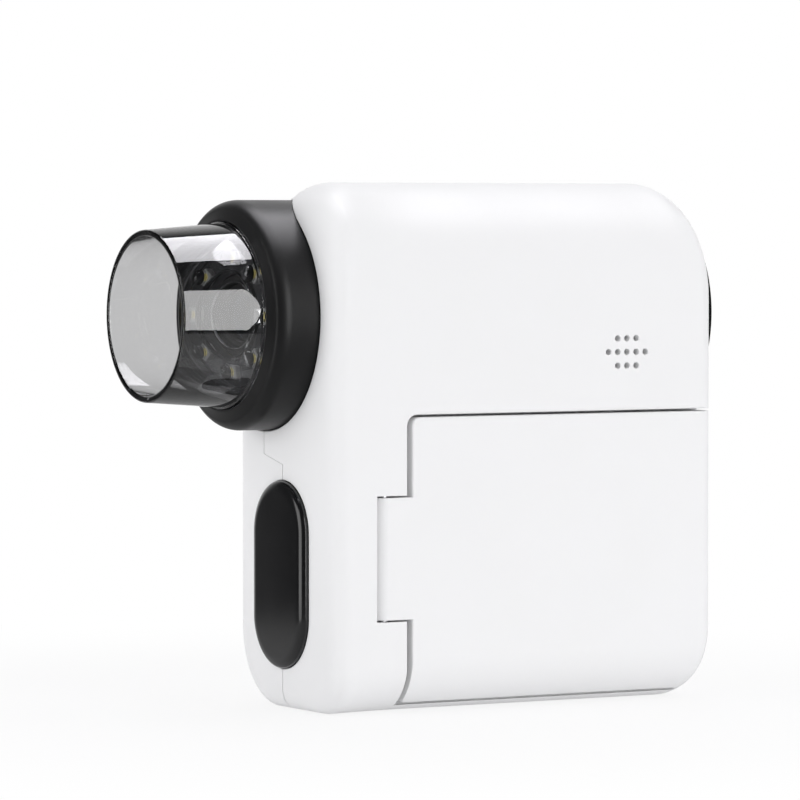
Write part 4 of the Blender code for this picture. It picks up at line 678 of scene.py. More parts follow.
# %% Sizes of the housing
HOUSING_LENGTH = 0.0712
HOUSING_HEIGHT = 0.0840
SCREEN_SIDE = 0.0230
PALM_SIDE = 0.0215
TOP_SCREEN_RADIUS = 0.0180
TOP_PALM_RADIUS = 0.0255
BOTTOM_SCREEN_RADIUS = 0.0090
BOTTOM_PALM_RADIUS = 0.0160
FRONT_SCREEN_RADIUS = 0.0036
FRONT_PALM_RADIUS = 0.0190
FRONT_TOP_RADIUS = 0.0080
FRONT_LEAN_SHARE = 0.3
FRONT_BOTTOM_RADIUS = 0.0030
REAR_SCREEN_RADIUS = 0.0028
REAR_PALM_RADIUS = 0.0100
REAR_TOP_RADIUS = 0.0062
REAR_BOTTOM_RADIUS = 0.0065
CORNER_ROOM_SHARE = 0.98
WALL = 0.0018
INNER_WALL = 0.0016
GAP = 0.0003
OVERRUN = 0.0020
STATION_GAP = 0.00025
HAIR = 0.00001
CORNER_STEPS = 20
END_STEPS = 14
ROUGH_STEPS = 6


# %% The moulded form
def end_inset(radius, depth):
    """How far a rounded end lies inside its full size, at a depth behind the plane it starts from."""
    depth = min(max(depth, 0), radius)
    return radius - math.sqrt(max(radius ** 2 - (radius - depth) ** 2, 0))


def housing_section(x, wall, steps):
    """Points round the housing at a distance behind its front, a wall's thickness inside its surface."""
    ahead, behind = x - wall, HOUSING_LENGTH - wall - x

    def rounding(front, rear):
        """How far a side lies in here, from the radii of its two ends."""
        return end_inset(front - wall, ahead) + end_inset(rear - wall, behind)

    screen = wall - SCREEN_SIDE + rounding(FRONT_SCREEN_RADIUS, REAR_SCREEN_RADIUS)
    palm = PALM_SIDE - wall - rounding(FRONT_PALM_RADIUS, REAR_PALM_RADIUS)
    top = HOUSING_HEIGHT - wall - rounding(FRONT_TOP_RADIUS, REAR_TOP_RADIUS)
    bottom = wall + rounding(FRONT_BOTTOM_RADIUS, REAR_BOTTOM_RADIUS)
    room = CORNER_ROOM_SHARE * (palm - screen)
    top_radii = TOP_SCREEN_RADIUS + TOP_PALM_RADIUS - 2 * wall
    bottom_radii = BOTTOM_SCREEN_RADIUS + BOTTOM_PALM_RADIUS - 2 * wall
    shrink_share = min(1, room / max(top_radii, bottom_radii))
    screen_radius = (TOP_SCREEN_RADIUS - wall) * shrink_share
    kept_share = 1 - FRONT_LEAN_SHARE if ahead < behind else 1
    palm_radius = min(TOP_PALM_RADIUS - wall, room - screen_radius * kept_share)
    corners = (
        (palm, top, -1, -1, palm_radius, 0),
        (screen, top, 1, -1, min(screen_radius, room - palm_radius), 90),
        (screen, bottom, 1, 1, (BOTTOM_SCREEN_RADIUS - wall) * shrink_share, 180),
        (palm, bottom, -1, 1, (BOTTOM_PALM_RADIUS - wall) * shrink_share, 270),
    )
    points = []
    for y, z, toward_y, toward_z, radius, start in corners:
        for step in range(steps + 1):
            angle = math.radians(start + 90 * step / steps)
            across = y + toward_y * radius + radius * math.cos(angle)
            up = z + toward_z * radius + radius * math.sin(angle)
            points.append((x, across, up))
    return points


def housing_form(name, wall=0.0, steps=CORNER_STEPS, end_steps=END_STEPS):
    """The housing's outside, or the surface a wall's thickness inside it, as one closed form."""
    front = (FRONT_PALM_RADIUS, FRONT_TOP_RADIUS, FRONT_SCREEN_RADIUS)
    rear = (REAR_PALM_RADIUS, REAR_BOTTOM_RADIUS, REAR_SCREEN_RADIUS)
    shares = [1 - cosine for sine, cosine in quarter(end_steps)]
    wanted = [wall + (radius - wall) * share for radius in front for share in shares]
    wanted += [HOUSING_LENGTH - wall - (radius - wall) * share for radius in rear for share in shares]
    stations = [wall]
    for x in sorted(wanted):
        if x - stations[-1] > STATION_GAP:
            stations.append(x)
    stations[-1] = HOUSING_LENGTH - wall
    return loft(name, [housing_section(x, wall, steps) for x in stations])


outer_form = housing_form("outer_form")
outer_form.hide_render = True
print("housing form", len(outer_form.data.vertices), "points")

# %% [markdown]
# ## The openings of the housing
# The front has a round bore for the focus ring, the rear a shallow round recess for the key plate, and
# the screen side a pocket for the folded screen with a notch for its hinge. Each mouth gets a small
# rounded lip, because a moulded edge is never sharp and its thin bright line is what the eye reads as
# plastic.

# %% Sizes of the openings
RING_RADIUS = 0.0184
RING_REACH = 0.0079
RING_DEPTH = 0.0125
RING_SLIT = 0.00012
BORE_RADIUS = RING_RADIUS + RING_SLIT
BORE_DEPTH = RING_DEPTH + GAP
BORE_LIP = 0.00035
BULKHEAD = 0.0015
BULKHEAD_REAR = BORE_DEPTH + BULKHEAD
NECK_RADIUS = 0.0117
FASCIA_RADIUS = 0.0184
FASCIA_SEAT = 0.0035
FASCIA_LEDGE = 0.0026
REAR_RECESS = HOUSING_LENGTH - FASCIA_SEAT - GAP
REAR_WALL_INSIDE = REAR_RECESS - INNER_WALL
SCREEN_FRONT = 0.01425
SCREEN_TOP = 0.0469
SCREEN_BOTTOM = 0.0015
SCREEN_THICKNESS = 0.0052
SCREEN_SEAM = 0.0004
SCREEN_CORNER = 0.0014
SWING_GAP = 0.0009
POCKET_LIP = 0.00035
POCKET_FLOOR = SCREEN_SIDE - SCREEN_THICKNESS - GAP
HINGE_RADIUS = 0.0020
HINGE_FRONT = 0.0081
HINGE_PLACE = HINGE_FRONT + HINGE_RADIUS
HINGE_DEPTH = SCREEN_SIDE - HINGE_RADIUS
HINGE_BOTTOM = 0.0150
HINGE_TOP = 0.0343
HINGE_TAIL = 0.0045
HINGE_BLOCK = 0.0018
PIN_RADIUS = 0.00075
SPEAKER_PLACE = 0.05419
SPEAKER_HEIGHT = 0.0567
HOLE_RADIUS = 0.00050
HOLE_LIP = 0.00012
HOLE_STEP = 0.00175
HOLE_ROW_STEP = 0.0022
HOLE_ROWS = (3, 5, 3)
HOLE_STEPS = 6
ROUND_SHARE = 0.999


# %% Mouths with rounded lips
def lip_levels(surface, depth, lip, inward):
    """Levels for a cut with a rounded lip: from a depth inside up to and past a surface."""
    levels = [(surface + inward * depth, 0.0)]
    levels += [(surface + inward * lip * (1 - sine), lip * (1 - cosine))
               for sine, cosine in quarter(ARC_STEPS)]
    return levels + [(surface - inward * OVERRUN, lip)]


def pocket_outline(grow):
    """The outline of the screen's pocket, open past the rear of the housing."""
    front, rear = SCREEN_FRONT - SWING_GAP - grow, HOUSING_LENGTH + OVERRUN + grow
    low, high = SCREEN_BOTTOM - SCREEN_SEAM - grow, SCREEN_TOP + SCREEN_SEAM + grow
    corner = SCREEN_CORNER + SCREEN_SEAM + grow
    return filleted([(front, low, 0), (rear, low, 0), (rear, high, 0), (front, high, corner)])


def round_mouth(name, radius, surface, depth, lip, inward):
    """A round bore about the lens axis with a rounded lip."""
    levels = lip_levels(surface, depth, lip, inward)
    bore = [(place, radius + growth) for place, growth in levels]
    return turned(name, [(levels[0][0], 0), *bore, (levels[-1][0], 0)])


def sound_holes():
    """The small round holes over the speaker, three rows with the middle one longer."""
    holes = []
    width = 2 * HOLE_RADIUS
    levels = lip_levels(-SCREEN_SIDE, 2 * WALL, HOLE_LIP, 1)
    for row, count in enumerate(HOLE_ROWS):
        height = SPEAKER_HEIGHT + (row - (len(HOLE_ROWS) - 1) / 2) * HOLE_ROW_STEP
        for column in range(count):
            centre = (SPEAKER_PLACE + (column - (count - 1) / 2) * HOLE_STEP, height)
            holes.append(plate(f"hole_{row}_{column}", centre, width, width, HOLE_RADIUS * ROUND_SHARE, "y",
                               levels, HOLE_STEPS))
    return gathered("sound_holes", holes)


# %% Hollow and hinge notch
def lens_cylinder(name, radius, front, rear):
    """A cylinder about the lens axis between two planes."""
    return turned(name, [(front, 0), (front, radius), (rear, radius), (rear, 0)])


def hinge_bar(name, radius, past=0.0, segments=ROD_SEGMENTS):
    """A round bar along the hinge's axis, reaching past the knuckle's two ends."""
    return rod(name, (HINGE_PLACE, -HINGE_DEPTH, HINGE_BOTTOM - past), (0, 0, 1),
               HINGE_TOP - HINGE_BOTTOM + 2 * past, radius, segments)


def hinge_notch():
    """The room for the knuckle and the holes for the pin's two ends."""
    low, high, beyond = HINGE_BOTTOM - GAP, HINGE_TOP + GAP, -SCREEN_SIDE - OVERRUN
    reach = HINGE_RADIUS + GAP
    room = hinge_bar("knuckle_room", reach, GAP)
    mouth = block("mouth", (HINGE_PLACE - reach, beyond, low), (HINGE_PLACE, -HINGE_DEPTH, high))
    web = block("web_room", (HINGE_PLACE, beyond, low), (SCREEN_FRONT, reach - HINGE_DEPTH, high))
    pin = hinge_bar("pin_room", PIN_RADIUS + GAP, HINGE_TAIL + GAP, PIN_SEGMENTS)
    for tool in (mouth, web, pin):
        combine(room, tool, "UNION")
    return room


def make_cavity():
    """The hollow of the housing, leaving walls round the pocket, the hinge, the bore and the key recess."""
    cavity = housing_form("cavity", WALL, ROUGH_STEPS, ROUGH_STEPS)
    reach, beyond = HINGE_RADIUS + GAP + HINGE_BLOCK, -SCREEN_SIDE - OVERRUN
    return cut(
        cavity,
        block("pocket_wall", (SCREEN_FRONT - SWING_GAP - INNER_WALL, beyond, -OVERRUN),
              (HOUSING_LENGTH + OVERRUN, INNER_WALL - POCKET_FLOOR, SCREEN_TOP + SCREEN_SEAM + INNER_WALL)),
        block("hinge_wall", (HINGE_PLACE - reach, beyond, HINGE_BOTTOM - HINGE_TAIL - HINGE_BLOCK),
              (SCREEN_FRONT, reach - HINGE_DEPTH, HINGE_TOP + HINGE_TAIL + HINGE_BLOCK)),
        lens_cylinder("bore_wall", BORE_RADIUS + INNER_WALL, -OVERRUN, BULKHEAD_REAR),
        lens_cylinder("recess_wall", FASCIA_RADIUS + GAP + INNER_WALL, REAR_WALL_INSIDE, HOUSING_LENGTH),
    )


# %% [markdown]
# ## The plaque's outline and the seam
# A raised black plaque sits low on the front. It is a stadium, so its outline is a rectangle whose corner
# radius is half its width. The seam between the two shells runs down the middle of the front, and steps
# aside above the plaque. In the real product the shells have a lip and a groove there, which leave one
# fine line: here it is a shallow groove.

# %% Plaque and seam shapes
PLAQUE_WIDTH = 0.0169
PLAQUE_HEIGHT = 0.0299
PLAQUE_CENTRE = (-0.0063, 0.0216)
PLAQUE_SEAT = 0.0008
PLAQUE_PROUD = 0.0013
PLAQUE_BEVEL = 0.0018
PLAQUE_STEPS = 24
SEAM_TOP = 0.0406
SEAM_BOTTOM = 0.0391
SEAM_OFFSET = 0.0062
SEAM_LINE = 0.00016
SEAM_DEPTH = 0.00025


def plaque_outline(grow):
    """The stadium outline of the plaque."""
    return oblong(PLAQUE_CENTRE, PLAQUE_WIDTH, PLAQUE_HEIGHT, PLAQUE_WIDTH / 2 - HAIR, grow, PLAQUE_STEPS)


def seam_side(name, side, gap):
    """The space on one side of the seam: -1 for the screen side, 1 for the palm side."""
    shift, far = side * gap, side * (SCREEN_SIDE + PALM_SIDE)
    outline = [
        (shift, HOUSING_HEIGHT + OVERRUN), (shift, SEAM_TOP), (shift - SEAM_OFFSET, SEAM_BOTTOM),
        (shift - SEAM_OFFSET, -OVERRUN), (far, -OVERRUN), (far, HOUSING_HEIGHT + OVERRUN),
    ]
    return prism(name, outline, "x", [(-OVERRUN, 0), (HOUSING_LENGTH + OVERRUN, 0)])


def seam_groove():
    """A thin sheet along the seam that cuts only the outermost skin of the housing."""
    sheet = seam_side("seam_sheet", 1, -SEAM_LINE / 2)
    cut(sheet, seam_side("beyond_seam", 1, SEAM_LINE / 2))
    return cut(sheet, housing_form("seam_core", SEAM_DEPTH))


# %% [markdown]
# ## Screws and sockets in the palm shell
# Four screws come in from the palm side through deep posts, and a charging socket and a card slot open in
# the rear wall. These are small, but they are what the back of such a device shows.

# %% Sizes of screws and sockets
SCREW_PLACES = ((0.0200, 0.0100), (0.0600, 0.0100), (0.0200, 0.0405), (0.0410, 0.0570))
SCREW_RADIUS = 0.0011
SCREW_HEAD_RADIUS = 0.0021
SCREW_HEAD_THICKNESS = 0.0015
SCREW_HEAD_PLACE = 0.0080
SCREW_DEPTH = 0.0120
POST_WALL = 0.0009
BOARD_PLACE = 0.0030
FINE_GAP = 0.00015
USB_WIDTH = 0.0089
USB_THICKNESS = 0.0032
USB_HEIGHT = 0.0200
CARD_WIDTH = 0.0140
CARD_THICKNESS = 0.0018
CARD_HEIGHT = 0.0360


def socket_middle(thickness):
    """Where a socket on the near face of the main board has its middle."""
    return BOARD_PLACE - FINE_GAP - thickness / 2


def socket_mouths():
    """The openings for the charging plug and the memory card."""
    usb = (socket_middle(USB_THICKNESS), USB_HEIGHT)
    card = (socket_middle(CARD_THICKNESS), CARD_HEIGHT)
    lip = lip_levels(HOUSING_LENGTH, WALL + REAR_BOTTOM_RADIUS, GAP, -1)
    levels = [(place, growth + GAP) for place, growth in lip]
    usb_mouth = plate("usb_mouth", usb, USB_THICKNESS, USB_WIDTH, USB_THICKNESS / 2 - HAIR, "x", levels)
    card_mouth = plate("card_mouth", card, CARD_THICKNESS, CARD_WIDTH, GAP, "x", levels)
    return gathered("socket_mouths", [usb_mouth, card_mouth])


def post(index, side):
    """The round post of one shell about a screw, trimmed to the housing's form."""
    place, height = SCREW_PLACES[index]
    seam = 0.0 if height > SEAM_TOP else -SEAM_OFFSET
    radius, reach = SCREW_HEAD_RADIUS + GAP + POST_WALL, PALM_SIDE - seam
    if side < 0:
        radius, reach = SCREW_RADIUS + FINE_GAP + 2 * POST_WALL, SCREEN_SIDE + seam
    made = rod(f"post_{index}", (place, seam, height), (0, side, 0), reach, radius, POST_SEGMENTS)
    combine(made, housing_form("post_trim", WALL / 2, ROUGH_STEPS, ROUGH_STEPS), "INTERSECT")
    if side < 0:
        low = (SCREEN_FRONT - SWING_GAP - GAP, -SCREEN_SIDE - OVERRUN, -OVERRUN)
        high = (HOUSING_LENGTH + OVERRUN, INNER_WALL / 2 - POCKET_FLOOR, SCREEN_TOP + SCREEN_SEAM + GAP)
        cut(made, block("post_pocket", low, high))
    return made


def screw_room(index):
    """The stepped hole for one screw."""
    place, height = SCREW_PLACES[index]
    head = rod("head_room", (place, SCREW_HEAD_PLACE - GAP, height), (0, 1, 0), PALM_SIDE,
               SCREW_HEAD_RADIUS + GAP)
    shank = rod("shank_room", (place, -SCREW_DEPTH - GAP, height), (0, 1, 0),
                SCREW_DEPTH + SCREW_HEAD_PLACE, SCREW_RADIUS + FINE_GAP, PIN_SEGMENTS)
    return combine(head, shank, "UNION")


# %% Mould the two shells
def make_mouldings():
    """The hollow housing with its openings, split into the palm shell and the screen side shell."""
    whole = duplicate(outer_form, "whole_housing")
    cut(
        whole,
        make_cavity(),
        prism("pocket", pocket_outline, "y",
              lip_levels(-SCREEN_SIDE, SCREEN_SIDE - POCKET_FLOOR, POCKET_LIP, 1)),
        hinge_notch(),
        round_mouth("ring_bore", BORE_RADIUS, 0, BORE_DEPTH, BORE_LIP, 1),
        lens_cylinder("neck_bore", NECK_RADIUS + GAP, GAP, BULKHEAD_REAR + OVERRUN),
        round_mouth("key_recess", FASCIA_RADIUS + FINE_GAP, HOUSING_LENGTH, FASCIA_SEAT + GAP, BORE_LIP, -1),
        lens_cylinder("key_bore", FASCIA_RADIUS - FASCIA_LEDGE, REAR_WALL_INSIDE - OVERRUN,
                      HOUSING_LENGTH - OVERRUN),
        prism("plaque_seat", plaque_outline(FINE_GAP), "x", [(-OVERRUN, 0), (PLAQUE_SEAT, 0)]),
        sound_holes(),
        seam_groove(),
    )
    palm = duplicate(whole, "palm_shell_moulding")
    combine(palm, seam_side("palm_space", 1, HAIR), "INTERSECT")
    screen = combine(whole, seam_side("screen_space", -1, HAIR), "INTERSECT")
    screen.name = "screen_side_moulding"
    for index in range(len(SCREW_PLACES)):
        combine(palm, post(index, 1), "UNION")
        combine(screen, post(index, -1), "UNION")
    rooms = gathered("screw_rooms", [screw_room(index) for index in range(len(SCREW_PLACES))])
    cut(palm, duplicate(rooms, "palm_rooms"))
    cut(screen, rooms)
    cut(palm, socket_mouths())
    return palm, screen


palm_moulding, screen_moulding = make_mouldings()
dress(palm_moulding, "white_shell", "housing", "grip_shell", form=outer_form)
dress(screen_moulding, "white_shell", "housing", "screen_side_shell", form=outer_form)

# %% [markdown]
# ## The fold-out screen
# Its case is cut from the housing's own form, so that it closes flush even where the form curves under.
# The edges are rounded by shrinking the outline along a quarter circle before it is intersected with the
# form. A knuckle on the front edge turns on a steel pin. Behind the case sit the display, its black frame
# and a clear window.

# %% Screen case
CASE_EDGE = 0.00035
KNUCKLE_SEGMENTS = 95
CASE_SHELL = 0.0015
CASE_RIM = 0.0023
REAR_CORNER = 0.0007
DISPLAY_LENGTH = 0.0500
DISPLAY_HEIGHT = 0.0360
WINDOW_LENGTH = 0.0410
WINDOW_HEIGHT = 0.0308
WINDOW_THICKNESS = 0.0007
WINDOW_CORNER = 0.0009
FRAME_THICKNESS = 0.0012
CELL_FRONT = SCREEN_FRONT + CASE_RIM
CELL_REAR = CELL_FRONT + DISPLAY_LENGTH + 2 * GAP
CELL_TOP = SCREEN_TOP - CASE_RIM
CELL_BOTTOM = CELL_TOP - DISPLAY_HEIGHT - 2 * GAP
INNER_FACE = SCREEN_SIDE - SCREEN_THICKNESS


def case_outline(grow):
    """The outline of the screen's case."""
    front, rear = SCREEN_FRONT - grow, HOUSING_LENGTH + grow
    low, high = SCREEN_BOTTOM - grow, SCREEN_TOP + grow
    small, large = REAR_CORNER + grow, SCREEN_CORNER + grow
    return filleted([(front, low, small), (rear, low, small), (rear, high, small), (front, high, large)])


def make_screen_case():
    """The case with rounded edges, its knuckle and the cell that the display lies in."""
    levels = [(-INNER_FACE, -GAP / 2), (-INNER_FACE - GAP / 2, 0.0)]
    levels += [(-SCREEN_SIDE + CASE_EDGE * (1 - sine), -CASE_EDGE * (1 - cosine))
               for sine, cosine in quarter(ARC_STEPS)]
    levels.append((-SCREEN_SIDE - GAP, -CASE_EDGE - GAP))
    web = block("web", (HINGE_PLACE, -SCREEN_SIDE - GAP / 2, HINGE_BOTTOM),
                (SCREEN_FRONT + CASE_RIM / 2, HINGE_RADIUS - HINGE_DEPTH - FINE_GAP, HINGE_TOP))
    case = combine(prism("screen_case", case_outline, "y", levels), web, "UNION")
    combine(case, duplicate(outer_form, "case_form"), "INTERSECT")
    combine(case, hinge_bar("knuckle", HINGE_RADIUS, segments=KNUCKLE_SEGMENTS), "UNION")
    middle = ((CELL_FRONT + CELL_REAR) / 2, (CELL_BOTTOM + CELL_TOP) / 2)
    cell = plate("cell", middle, CELL_REAR - CELL_FRONT, CELL_TOP - CELL_BOTTOM, GAP, "y",
                 [(-SCREEN_SIDE + CASE_SHELL, 0), (-INNER_FACE - GAP, 0), (-INNER_FACE + OVERRUN, GAP / 2)])
    bore = hinge_bar("knuckle_bore", PIN_RADIUS + FINE_GAP, OVERRUN, POST_SEGMENTS)
    return cut(case, cell, bore), middle


screen_case, display_middle = make_screen_case()
dress(screen_case, "white_shell", "screen", "screen_cover", form=outer_form)

# %% Display frame and window
frame_face, glass_face = -INNER_FACE, -INNER_FACE - GAP
bezel = plate("display_bezel", display_middle, DISPLAY_LENGTH, DISPLAY_HEIGHT, GAP, "y",
              [(frame_face - FRAME_THICKNESS, 0), (frame_face - GAP / 2, 0), (frame_face, -GAP / 2)])
opening = plate("bezel_opening", display_middle, WINDOW_LENGTH, WINDOW_HEIGHT, WINDOW_CORNER, "y",
                [(frame_face - OVERRUN, 0), (glass_face, 0), (frame_face, GAP), (frame_face + OVERRUN, GAP)])
dress(cut(bezel, opening), "satin_black", "screen", "display_frame")
window = plate("display_glass", display_middle, WINDOW_LENGTH - GAP, WINDOW_HEIGHT - GAP, WINDOW_CORNER,
               "y", [(glass_face - WINDOW_THICKNESS, 0), (glass_face - FINE_GAP / 2, 0),
                     (glass_face, -FINE_GAP / 2)])
dress(window, "clear_cover", "screen", "display_window", slot="lens_glass")

# %% [markdown]
# ## The focus ring
# A single turned profile: a cylinder with a softly rounded nose and an inner lip that traps the light
# tube. A lathe makes the real mould, and turning a profile is the same idea. The helical groove inside,
# in which the lens's pin runs, stays with the solids, because nothing of it can be seen.

# %% Focus ring
RING_NOSE_LENGTH = 0.0024
RING_NOSE_DROP = 0.0016
RING_FACE_LEAN = 0.0008
RING_WALL = 0.0022
RING_LIP = 0.0014
RING_MOUTH_RADIUS = 0.0150
RING_BORE = RING_RADIUS - RING_WALL
RING_FACE_FILLET = 0.00025
RING_LIP_FILLET = 0.00015
SMALL_FILLET = 0.0001
NOSE_STEPS = 14

nose = [(-RING_REACH + RING_FACE_LEAN + RING_NOSE_LENGTH * (1 - sine),
         RING_RADIUS - RING_NOSE_DROP * (1 - cosine)) for sine, cosine in quarter(NOSE_STEPS)]
inside = filleted([
    (*nose[-1], 0), (-RING_REACH, RING_MOUTH_RADIUS, RING_FACE_FILLET),
    (-RING_REACH + RING_LIP, RING_MOUTH_RADIUS, RING_LIP_FILLET), (-RING_REACH + RING_LIP, RING_BORE, 0),
    (RING_DEPTH, RING_BORE, 0), (RING_DEPTH, RING_RADIUS, 2 * SMALL_FILLET),
])
ring = turned("focus_ring_turned", nose + [tuple(point) for point in inside[1:]], FINE_SEGMENTS)
dress(ring, "satin_black", "focus", "focus_ring")

# %% [markdown]
# ## The light tube
# The clear tube keeps the sample at the right distance and spreads the light. Its wall is one millimetre
# thick and slightly conical. A real wall, with an inner and an outer face, is what makes the rim look
# dark and doubles the reflections, so the tube is turned as a closed profile with a rounded rim.

# %% Light tube
TUBE_REACH = 0.0214
TUBE_RIM_RADIUS = 0.01367
TUBE_ROOT_RADIUS = 0.0147
TUBE_WALL = 0.00105
TUBE_FLANGE_RADIUS = 0.0158
TUBE_FLANGE = 0.0007
TUBE_ROUND = 0.0003
TUBE_BEAD = 0.0002
TUBE_STEP = 0.0004
TUBE_TAPER = 0.00003
CARRIER_FRONT = RING_REACH - RING_LIP - 2 * GAP - TUBE_FLANGE
flange_front = -RING_REACH + RING_LIP + GAP
flange_rear = -CARRIER_FRONT - GAP

tube = turned("light_tube_clear", filleted([
    (-TUBE_REACH, TUBE_RIM_RADIUS - TUBE_WALL, TUBE_ROUND), (-TUBE_REACH, TUBE_RIM_RADIUS, TUBE_ROUND),
    (-RING_REACH - TUBE_STEP, TUBE_ROOT_RADIUS - TUBE_TAPER, 0),
    (-RING_REACH - TUBE_BEAD, TUBE_ROOT_RADIUS + TUBE_BEAD, TUBE_BEAD / 2),
    (-RING_REACH + TUBE_BEAD, TUBE_ROOT_RADIUS + TUBE_BEAD, SMALL_FILLET),
    (flange_front, TUBE_ROOT_RADIUS, SMALL_FILLET), (flange_front, TUBE_FLANGE_RADIUS, SMALL_FILLET),
    (flange_rear, TUBE_FLANGE_RADIUS, SMALL_FILLET),
    (flange_rear, TUBE_ROOT_RADIUS - TUBE_WALL, SMALL_FILLET),
    (-RING_REACH, TUBE_ROOT_RADIUS - TUBE_WALL, 0),
]), FINE_SEGMENTS)
dress(tube, "clear_plastic", "housing", "light_tube")

# %% [markdown]
# ## Lights and their clear cover
# Eight small lights stand in a circle round the lens. Each is a pale package with a yellow phosphor in a
# round cup. A clear ring lies over them, with a lens-like dome in front of each light and two fine
# concentric ridges.

# %% Light sizes
LED_COUNT = 8
LED_CIRCLE_RADIUS = 0.0094
LED_DEPTH = 0.0049
LED_THICKNESS = 0.0008
LED_LENGTH = 0.0026
LED_WIDTH = 0.0022
LED_CORNER = 0.0003
LED_CUP_RADIUS = 0.0007
LED_CUP_FLARE = 0.0002
LED_CUP_DEPTH = 0.0004
PHOSPHOR_DEPTH = 0.00012
PHOSPHOR_FALL = 0.00004
PHOSPHOR_FLAT_SHARE = 0.6
BOARD_THICKNESS = 0.0010
COVER_PLATE = 0.0008
COVER_RADIUS = 0.0128
COVER_SKIRT = 0.0009
DOME_RADIUS = 0.00138
DOME_HEIGHT = 0.0011
DOME_FOOT = 0.0002
DOME_SEAT = 0.0001
DOME_STEPS = 8
RIDGE = 0.00015
CELL_RADIUS = 0.0066
CARRIER_RADIUS = RING_BORE - GAP
CARRIER_WALL = 0.0016
CARRIER_BORE = CARRIER_RADIUS - CARRIER_WALL
GUIDE_BORE = CELL_RADIUS + GAP
board_front = -(LED_DEPTH - LED_THICKNESS - FINE_GAP)
board_rear = board_front + BOARD_THICKNESS


def led_angle(index):
    """Where one of the lights stands on their circle."""
    return 2 * math.pi * index / LED_COUNT


def led_place(index):
    """The middle of one of the lights, in the plane of the housing's front."""
    angle = led_angle(index)
    return Vector((0, LED_CIRCLE_RADIUS * math.cos(angle), LENS_HEIGHT + LED_CIRCLE_RADIUS * math.sin(angle)))


# %% Packages and phosphor
def led_package(index):
    """The pale body of one light, a plate with round corners square to its radius."""
    slope = LED_CORNER / 4
    levels = [(-LED_DEPTH, -slope), (-LED_DEPTH + slope, 0), (-LED_DEPTH + LED_THICKNESS, 0)]
    made = plate(f"light_{index + 1}_package", (0, 0), LED_WIDTH, LED_LENGTH, LED_CORNER, "x", levels)
    made.data.transform(Matrix.Translation(led_place(index)) @ Matrix.Rotation(led_angle(index), 4, "X"))
    return made


cup_profile = [
    (-LED_DEPTH - GAP, 0), (-LED_DEPTH - GAP, LED_CUP_RADIUS + LED_CUP_FLARE),
    (-LED_DEPTH + LED_CUP_DEPTH, LED_CUP_RADIUS), (-LED_DEPTH + LED_CUP_DEPTH, 0),
]
phosphor_front = -LED_DEPTH + PHOSPHOR_DEPTH
phosphor_rear = -LED_DEPTH + LED_CUP_DEPTH - HAIR
phosphor_profile = [
    (phosphor_front, 0), (phosphor_front + PHOSPHOR_FALL, LED_CUP_RADIUS * PHOSPHOR_FLAT_SHARE),
    (phosphor_front + 2 * PHOSPHOR_FALL, LED_CUP_RADIUS), (phosphor_rear, LED_CUP_RADIUS - HAIR),
    (phosphor_rear, 0),
]
for index in range(LED_COUNT):
    package = led_package(index)
    cup = turned("cup", cup_profile, SMALL_SEGMENTS, led_place(index))
    dress(cut(package, cup), "white_ceramic", "housing", f"led_{index + 1}", slot="light_phosphor")
    drop = turned(f"light_{index + 1}_phosphor", phosphor_profile, SMALL_SEGMENTS, led_place(index))
    dress(drop, "light_phosphor", "housing")

# %% Clear cover with domes
cover_front = -LED_DEPTH - GAP - COVER_PLATE
cover_rear = cover_front + COVER_PLATE
cover_foot = board_front - FINE_GAP
cover_inner = CELL_RADIUS + 2 * GAP
cover = turned("light_cover_clear", filleted([
    (cover_front - RIDGE, cover_inner, SMALL_FILLET),
    (cover_front - RIDGE, cover_inner + 2 * RIDGE, SMALL_FILLET / 2),
    (cover_front, cover_inner + 3 * RIDGE, 0), (cover_front, COVER_RADIUS - 5 * RIDGE, 0),
    (cover_front - RIDGE, COVER_RADIUS - 4 * RIDGE, SMALL_FILLET / 2),
    (cover_front - RIDGE, COVER_RADIUS, SMALL_FILLET),
    (cover_foot, COVER_RADIUS, 0), (cover_foot, COVER_RADIUS - COVER_SKIRT, 0),
    (cover_rear, COVER_RADIUS - COVER_SKIRT, 2 * SMALL_FILLET), (cover_rear, cover_inner, SMALL_FILLET),
]))
dome_rear, dome_seat = cover_front + DOME_FOOT, cover_front - DOME_SEAT
dome_profile = [
    (dome_rear, 0), (dome_rear, DOME_RADIUS + DOME_FOOT), (dome_seat, DOME_RADIUS + DOME_FOOT),
    *[(dome_seat - DOME_HEIGHT * sine, DOME_RADIUS * cosine) for sine, cosine in quarter(DOME_STEPS)[:-1]],
    (dome_seat - DOME_HEIGHT, 0),
]
domes = [turned(f"dome_{index}", dome_profile, SMALL_SEGMENTS, led_place(index))
         for index in range(LED_COUNT)]
combine(cover, gathered("domes", domes), "UNION")
dress(cover, "clear_cover", "housing", "led_cover", slot="clear_plastic")

# %% Board and carrier behind the lights
board_inner, board_outer = GUIDE_BORE + FINE_GAP, CARRIER_BORE - GAP
light_board = turned("light_board_ring", [
    (board_front, board_inner), (board_front, board_outer),
    (board_rear, board_outer), (board_rear, board_inner),
], COARSE_SEGMENTS)
dress(light_board, "board_black", "housing", "led_board")

